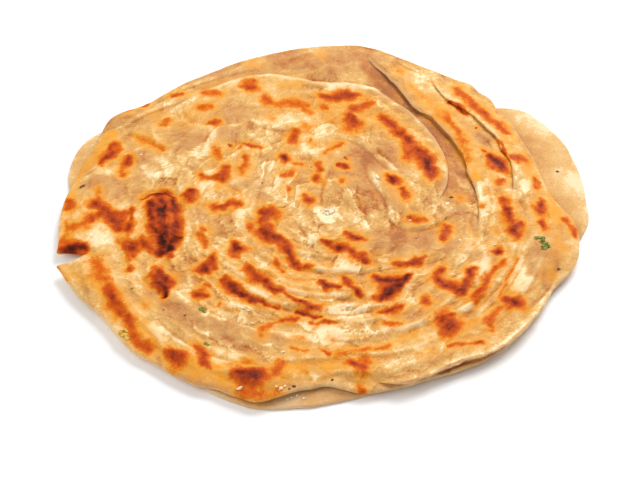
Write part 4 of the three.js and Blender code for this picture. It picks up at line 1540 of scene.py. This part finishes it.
CORIANDER = Scatter("coriander_bits", "herb", (
    (88.8, -9.3, 2.7, 1.6, 0.5, 8), (90.5, -9.9, 2.1, 1.4, 0.5, 70),
    (90.1, -11.6, 2.2, 1.6, 0.6, -30), (91.3, -12.6, 2.6, 1.7, 0.5, -20),
    (90.7, -14.5, 2.7, 1.9, 0.5, 30), (92.2, -14.2, 1.9, 1.4, 0.5, 80),
    (-43.8, -46.4, 2.8, 1.8, 0.6, 30), (-42.6, -47.4, 1.7, 1.1, 0.5, -40),
    (-40.6, -62.8, 2.2, 1.1, 0.5, -20), (-70.6, -35.6, 1.0, 0.6, 0.4, 20)), 301, lobed=0.22)
CRUMBS = Scatter("flaky_crumbs", "crust", (
    (4.4, 6.8, 2.0, 1.6, 0.8, 10), (6.4, 5.6, 2.6, 1.8, 0.9, 60), (5.0, 4.2, 1.6, 1.2, 0.7, -30),
    (8.0, 6.4, 1.5, 1.1, 0.7, 80), (6.4, 7.6, 1.4, 1.0, 0.6, 0), (3.4, 5.2, 1.2, 0.9, 0.6, 40),
    (-12.6, -83.4, 1.7, 1.2, 0.9, 20), (-11.0, -82.4, 1.3, 0.9, 0.8, 70),
    (-14.0, -82.8, 1.2, 0.8, 0.7, -20), (-8.6, -84.8, 1.4, 1.0, 0.8, 0),
    (-6.4, -84.0, 1.2, 0.9, 0.7, 50), (-4.0, -85.2, 1.3, 0.8, 0.7, -40),
    (-10.0, -85.4, 1.0, 0.8, 0.6, 0), (-27.6, -83.6, 1.8, 1.1, 0.8, 15),
    (-12.0, -66.6, 1.6, 1.0, 0.6, 20), (-24.0, -52.6, 1.5, 0.8, 0.5, -30),
    (-20.4, -52.0, 1.0, 0.6, 0.5, 10), (-28.0, -45.4, 2.4, 0.9, 0.6, -20),
    (-25.4, -46.6, 1.6, 0.8, 0.5, 0), (10.4, -43.4, 2.6, 0.9, 0.6, 0),
    (13.0, -44.2, 1.6, 0.8, 0.5, 30), (-14.4, -48.0, 1.0, 0.6, 0.5, 0),
    (38.0, 0.6, 1.2, 0.7, 0.5, 0), (53.6, 9.6, 1.8, 1.3, 0.6, 20), (55.0, 7.0, 1.2, 1.0, 0.5, 60),
    (25.4, 24.6, 1.6, 2.4, 0.6, 10), (71.0, -12.6, 1.2, 0.7, 0.4, 0),
    (57.6, -10.0, 1.3, 0.8, 0.5, 40), (-45.0, 2.2, 1.2, 0.9, 0.5, 20),
    (-43.4, 0.8, 0.9, 0.7, 0.4, 0), (12.4, 79.0, 1.6, 0.8, 0.5, 0), (-37.6, 36.4, 1.0, 0.6, 0.4, 0),
    (-72.0, 37.4, 1.0, 0.8, 0.4, 0)), 401)
YELLOW_CRUMBS = Scatter("yellow_gram_crumbs", "crust", (
    (-73.6, -56.4, 2.6, 1.6, 1.0, 40), (-71.8, -55.8, 2.2, 1.4, 1.0, -30),
    (-72.2, -58.0, 3.0, 1.7, 1.0, 10), (-70.8, -59.4, 2.0, 1.2, 0.8, -50),
    (-73.4, -57.6, 1.3, 1.0, 0.8, 0), (-66.4, 44.0, 0.9, 0.7, 0.4, 0)), 501)
BRAN = Scatter("toasted_bran_specks", "crust", (
    (-95.0, 19.6, 2.4, 1.5, 0.8, 20), (6.6, -78.8, 1.2, 0.9, 0.6, 50),
    (-7.6, -82.2, 1.4, 1.0, 0.7, 10), (-9.4, -83.4, 0.9, 0.7, 0.5, 0),
    (95.4, -24.4, 1.5, 1.0, 0.6, 30), (-49.6, -48.8, 0.9, 0.7, 0.4, 0),
    (55.2, 13.4, 1.6, 0.9, 0.5, -10), (67.6, 53.6, 1.0, 0.6, 0.4, 40),
    (100.2, 31.4, 1.4, 0.9, 0.4, 0), (-35.8, 43.2, 1.6, 0.6, 0.4, -50),
    (12.2, 36.4, 1.1, 0.6, 0.4, 40), (52.4, 1.6, 1.4, 0.5, 0.4, 60),
    (-21.6, 21.4, 0.8, 0.5, 0.4, 0), (-63.0, 24.0, 0.7, 0.5, 0.3, 0),
    (40.0, -9.6, 0.8, 0.5, 0.3, 0), (-58.0, -46.0, 0.7, 0.5, 0.3, 0)), 601)


# ------------------------------------------------------------------ finishes


def linear(code: str) -> tuple[float, float, float, float]:
    """Linear colour of an sRGB hex code.

    Args:
        code: six hex digits, such as "E8B877".

    Returns:
        Red, green, blue and 1.
    """
    channels = [int(code[k:k + 2], 16) / 255.0 for k in (0, 2, 4)]
    straight = [c / 12.92 if c <= 0.04045 else ((c + 0.055) / 1.055) ** 2.4 for c in channels]
    return (*straight, 1.0)


def add_node(tree: bpy.types.NodeTree, kind: str, settings: dict | None = None,
             **links: object) -> bpy.types.Node:
    """Add a node to a tree.

    Args:
        tree: the material's nodes.
        kind: the node's type name without its "ShaderNode" start.
        settings: the node's own properties.
        links: input name (with _ for a space, or in_N for a numbered socket) to an output
            socket to link from, or a value to set.

    Returns:
        The new node.
    """
    node = tree.nodes.new("ShaderNode" + kind)
    for name, value in (settings or {}).items():
        setattr(node, name, value)
    for name, value in links.items():
        number = name.startswith("in_")
        socket = node.inputs[int(name[3:])] if number else node.inputs[name.replace("_", " ")]
        if isinstance(value, bpy.types.NodeSocket):
            tree.links.new(value, socket)
        else:
            socket.default_value = value
    return node


def set_ramp(node: bpy.types.Node, *stops: tuple[float, str]) -> None:
    """Give a colour ramp its stops.

    Args:
        node: the colour ramp.
        stops: place and sRGB hex code of each stop.
    """
    ramp = node.color_ramp
    while len(ramp.elements) > 1:
        ramp.elements.remove(ramp.elements[-1])
    ramp.elements[0].position = stops[0][0]
    ramp.elements[0].color = linear(stops[0][1])
    for place, code in stops[1:]:
        ramp.elements.new(place).color = linear(code)


def new_material(name: str) -> bpy.types.Material:
    """Material without nodes yet.

    Args:
        name: its name.

    Returns:
        The material.
    """
    material = bpy.data.materials.new(name)
    material.use_nodes = True
    material.node_tree.nodes.clear()
    return material


@dataclass(frozen=True)
class FriedDough:
    """Wheat dough fried in ghee on a griddle.

    Pale floury dough shows between browned and charred spots; a thin film of fat gives it
    soft highlights, and the dough lets a little light through.
    """

    name: str = "ghee_fried_wheat_dough"
    deep: str = "98501F"
    brown: str = "B46E34"
    tan: str = "BC864D"
    wheat: str = "CE9D5A"
    cream: str = "DCB678"
    floury: str = "F0DAB0"
    raw: str = "CA9562"
    gold: str = "E2982A"
    amber: str = "D88A20"
    orange: str = "CA5C08"
    rust: str = "AC3E06"
    maroon: str = "742004"
    char: str = "300E06"
    # colour of the painted highlight on rims and lips
    rim: str = "DCC196"
    grain_mm: float = 0.9
    blotch_mm: float = 4.0
    fleck_mm: float = 1.3

    def build(self) -> bpy.types.Material:
        """Make the material.

        Returns:
            The material.
        """
        material = new_material(self.name)
        tree = material.node_tree
        # numbers on the vertices, and noise in the size of crumb, blotch and flour fleck
        where = add_node(tree, "TexCoord").outputs["Object"]
        browned, golden, cream, raw, rim = (
            add_node(tree, "Attribute", {"attribute_name": name}).outputs["Fac"]
            for name in ("browned", "golden", "cream", "raw", "rim"))
        grain, blotch, speck = (
            add_node(tree, "TexNoise", {"noise_dimensions": "3D"}, Vector=where,
                     Scale=1.0 / (size * MM), Detail=detail, Roughness=rough).outputs["Fac"]
            for size, detail, rough in ((self.grain_mm, 5.0, 0.62), (self.blotch_mm, 4.0, 0.55),
                                        (self.fleck_mm, 2.0, 0.5)))
        # bare dough from deep brown to floury cream; the darkest stops also carry the painted shade
        # and the palest the painted highlights
        fleck = add_node(tree, "MapRange", {"interpolation_type": "SMOOTHSTEP"},
                         Value=speck, From_Min=0.58, From_Max=0.7).outputs["Result"]
        paler = self.shifted(tree, cream, grain, 0.5, 0.42)
        paler = self.shifted(tree, paler, fleck, 0.0, 0.1)
        paler = self.shifted(tree, paler, blotch, 0.5, 0.24)
        paler = add_node(tree, "MapRange", Value=paler, From_Min=-0.55, From_Max=1.04)
        dough = add_node(tree, "ValToRGB", Fac=paler.outputs["Result"])
        set_ramp(dough, (0.0, self.deep), (0.2, self.brown), (0.35, self.tan),
                 (0.58, self.wheat), (0.79, self.cream), (0.94, self.floury))
        # over it: raw smooth dough, the painted highlight on rims and lips, the golden glow and the
        # browned crust
        soft_raw, rim_highlight_share = (
            add_node(tree, "Math", {"operation": "MULTIPLY"}, in_0=value, in_1=0.5).outputs[0]
            for value in (raw, rim))
        glow = self.shifted(tree, golden, blotch, 0.5, 0.18)
        glow = add_node(tree, "MapRange", Value=glow, From_Min=0.08, From_Max=1.0, To_Max=0.86)
        toast = self.shifted(tree, browned, grain, 0.5, 0.2)
        toast = self.shifted(tree, toast, blotch, 0.5, 0.16)
        crust = add_node(tree, "ValToRGB", Fac=toast)
        set_ramp(crust, (0.05, self.gold), (0.2, self.amber), (0.38, self.orange),
                 (0.58, self.rust), (0.8, self.maroon), (1.0, self.char))
        cover = add_node(tree, "MapRange", {"interpolation_type": "SMOOTHSTEP"}, Value=toast,
                         From_Min=0.03, From_Max=0.30)
        colour = dough.outputs["Color"]
        for share, over in ((soft_raw, linear(self.raw)), (rim_highlight_share, linear(self.rim)),
                            (glow.outputs["Result"], linear(self.gold)),
                            (cover.outputs["Result"], crust.outputs["Color"])):
            colour = add_node(tree, "Mix", {"data_type": "RGBA"}, in_0=share, in_6=colour,
                              in_7=over).outputs[2]
        # crumb too fine for the mesh, and patches that hold more or less fat
        fine = add_node(tree, "Bump", Strength=0.7, Distance=0.4 * MM, Height=grain)
        broad = add_node(tree, "Bump", Strength=0.7, Distance=0.95 * MM, Height=blotch,
                         Normal=fine.outputs["Normal"])
        gloss = add_node(tree, "MapRange", Value=blotch, From_Min=0.3, From_Max=0.7,
                         To_Min=0.34, To_Max=0.6)
        shader = add_node(tree, "BsdfPrincipled", Base_Color=colour,
                          Roughness=gloss.outputs["Result"], Normal=broad.outputs["Normal"],
                          IOR=1.45, Specular_IOR_Level=0.12, Subsurface_Weight=0.22,
                          Subsurface_Radius=(1.0, 0.5, 0.25), Subsurface_Scale=1.2 * MM)
        add_node(tree, "OutputMaterial", Surface=shader.outputs[0])
        return material

    def shifted(self, tree: bpy.types.NodeTree, value: bpy.types.NodeSocket,
                pattern: bpy.types.NodeSocket, middle: float,
                amount: float) -> bpy.types.NodeSocket:
        """A value moved up and down by a pattern.

        Args:
            tree: the material's nodes.
            value: the value.
            pattern: numbers about 0 to 1.
            middle: the pattern's number that changes nothing.
            amount: how far a change of a half in the pattern moves the value.

        Returns:
            The moved value.
        """
        offset = add_node(tree, "Math", {"operation": "MULTIPLY_ADD"}, in_0=pattern,
                          in_1=2.0 * amount, in_2=-2.0 * amount * middle)
        total = add_node(tree, "Math", {"operation": "ADD"}, in_0=value, in_1=offset.outputs[0])
        return total.outputs[0]


@dataclass(frozen=True)
class Speckled:
    """Plain material with slightly uneven colour, for the loose bits.

    Fresh herb and bran are soft and matt; crumbs also let a little light through.
    """

    name: str
    dark: str
    light: str
    roughness: float
    depth: float = 0.0
    mottle_mm: float = 0.8

    def build(self) -> bpy.types.Material:
        """Make the material.

        Returns:
            The material.
        """
        material = new_material(self.name)
        tree = material.node_tree
        where = add_node(tree, "TexCoord").outputs["Object"]
        mottle = add_node(tree, "TexNoise", {"noise_dimensions": "3D"}, Vector=where,
                          Scale=1.0 / (self.mottle_mm * MM), Detail=3.0).outputs["Fac"]
        colour = add_node(tree, "ValToRGB", Fac=mottle)
        set_ramp(colour, (0.35, self.dark), (0.65, self.light))
        dents = add_node(tree, "Bump", Strength=0.6, Distance=0.15 * MM, Height=mottle)
        shader = add_node(tree, "BsdfPrincipled", Base_Color=colour.outputs["Color"],
                          Roughness=self.roughness, Normal=dents.outputs["Normal"],
                          Specular_IOR_Level=0.35, Subsurface_Weight=self.depth,
                          Subsurface_Scale=0.6 * MM)
        add_node(tree, "OutputMaterial", Surface=shader.outputs[0])
        return material


# ------------------------------------------------------------------ set


@dataclass(frozen=True)
class SoftLight:
    """Square soft light aimed at the bread: place and side in metres, power in watts."""

    name: str
    place: tuple[float, float, float]
    size: float
    power: float

    def build(self) -> None:
        """Hang the light."""
        data = bpy.data.lights.new(self.name, "AREA")
        data.size = self.size
        data.energy = self.power
        lamp = bpy.data.objects.new(self.name, data)
        bpy.context.scene.collection.objects.link(lamp)
        lamp.location = self.place
        x, y, z = self.place
        lamp.rotation_euler = (math.atan2(math.hypot(x, y), z), 0.0,
                               math.atan2(y, x) + math.pi / 2)


@dataclass(frozen=True)
class Studio:
    """White sweep, soft lights and the camera; camera places are in plan mm."""

    camera_place: tuple[float, float, float] = (2.0, -481.6, 530.4)
    camera_lean: float = 42.0
    lens: float = 100.0
    sensor: float = 36.0
    floor_half: float = 3.0
    room_light: float = 0.42
    lights: tuple[SoftLight, ...] = (
        SoftLight("back_window", (0.42, 0.54, 0.78), 0.7, 11.1),
        SoftLight("side_fill", (-0.72, -0.3, 0.78), 1.1, 6.6))

    def floor(self) -> None:
        """Matt white paper under the bread."""
        bm = bmesh.new()
        bmesh.ops.create_grid(bm, x_segments=2, y_segments=2, size=self.floor_half)
        mesh = bpy.data.meshes.new("white_sweep")
        bm.to_mesh(mesh)
        bm.free()
        material = new_material("matt_white_paper")
        tree = material.node_tree
        paper = add_node(tree, "BsdfPrincipled", Base_Color=linear("FAFAFA"), Roughness=0.9,
                         Specular_IOR_Level=0.1)
        add_node(tree, "OutputMaterial", Surface=paper.outputs[0])
        make_object("white_sweep", mesh, material)

    def camera(self) -> None:
        """Long lens looking down on the bread."""
        data = bpy.data.cameras.new("camera")
        data.lens = self.lens
        data.sensor_width = self.sensor
        data.clip_start = 0.02
        camera = bpy.data.objects.new("camera", data)
        bpy.context.scene.collection.objects.link(camera)
        x, y, z = self.camera_place
        camera.location = ((x - PLAN_MIDDLE[0]) * MM, (y - PLAN_MIDDLE[1]) * MM, z * MM)
        camera.rotation_euler = (math.radians(self.camera_lean), 0.0, 0.0)
        bpy.context.scene.camera = camera

    def build(self) -> None:
        """Set everything up."""
        self.floor()
        for light in self.lights:
            light.build()
        world = bpy.data.worlds.new("white_room")
        world.use_nodes = True
        background = world.node_tree.nodes["Background"]
        background.inputs["Color"].default_value = (1, 1, 1, 1)
        background.inputs["Strength"].default_value = self.room_light
        bpy.context.scene.world = world
        bpy.context.scene.view_settings.view_transform = "Standard"
        self.camera()


@dataclass(frozen=True)
class Paratha:
    """The whole bread: main disc, lower leaf, the lips of its leaves and the loose bits."""

    surface: Surface = Surface()
    loose: tuple[tuple[Scatter, Speckled], ...] = (
        (CORIANDER, Speckled("chopped_coriander", "424C02", "8A9012", 0.5)),
        (CRUMBS, Speckled("flaky_white_crumbs", "DCC29A", "F0E2CA", 0.7, 0.1)),
        (YELLOW_CRUMBS, Speckled("yellow_gram_crumbs", "B98A1E", "E6C45A", 0.5, 0.1)),
        (BRAN, Speckled("toasted_bran", "3E2210", "80522A", 0.6)))

    def build(self) -> None:
        """Make every piece."""
        dough = FriedDough().build()
        disc = MainDisc().build(self.surface, dough)
        leaf = LowerLeaf().build(self.surface, dough)
        LeafLips().build(self.surface, dough)
        scene_now = bpy.context.evaluated_depsgraph_get()
        grounds = [BVHTree.FromObject(piece, scene_now) for piece in (disc, leaf)]
        for scatter, finish in self.loose:
            scatter.build(grounds, finish.build())


def main() -> None:
    """Build the bread and its set."""
    logging.basicConfig(level=logging.INFO, format="%(message)s")
    Paratha().build()
    Studio().build()


if __name__ == "__main__":
    main()
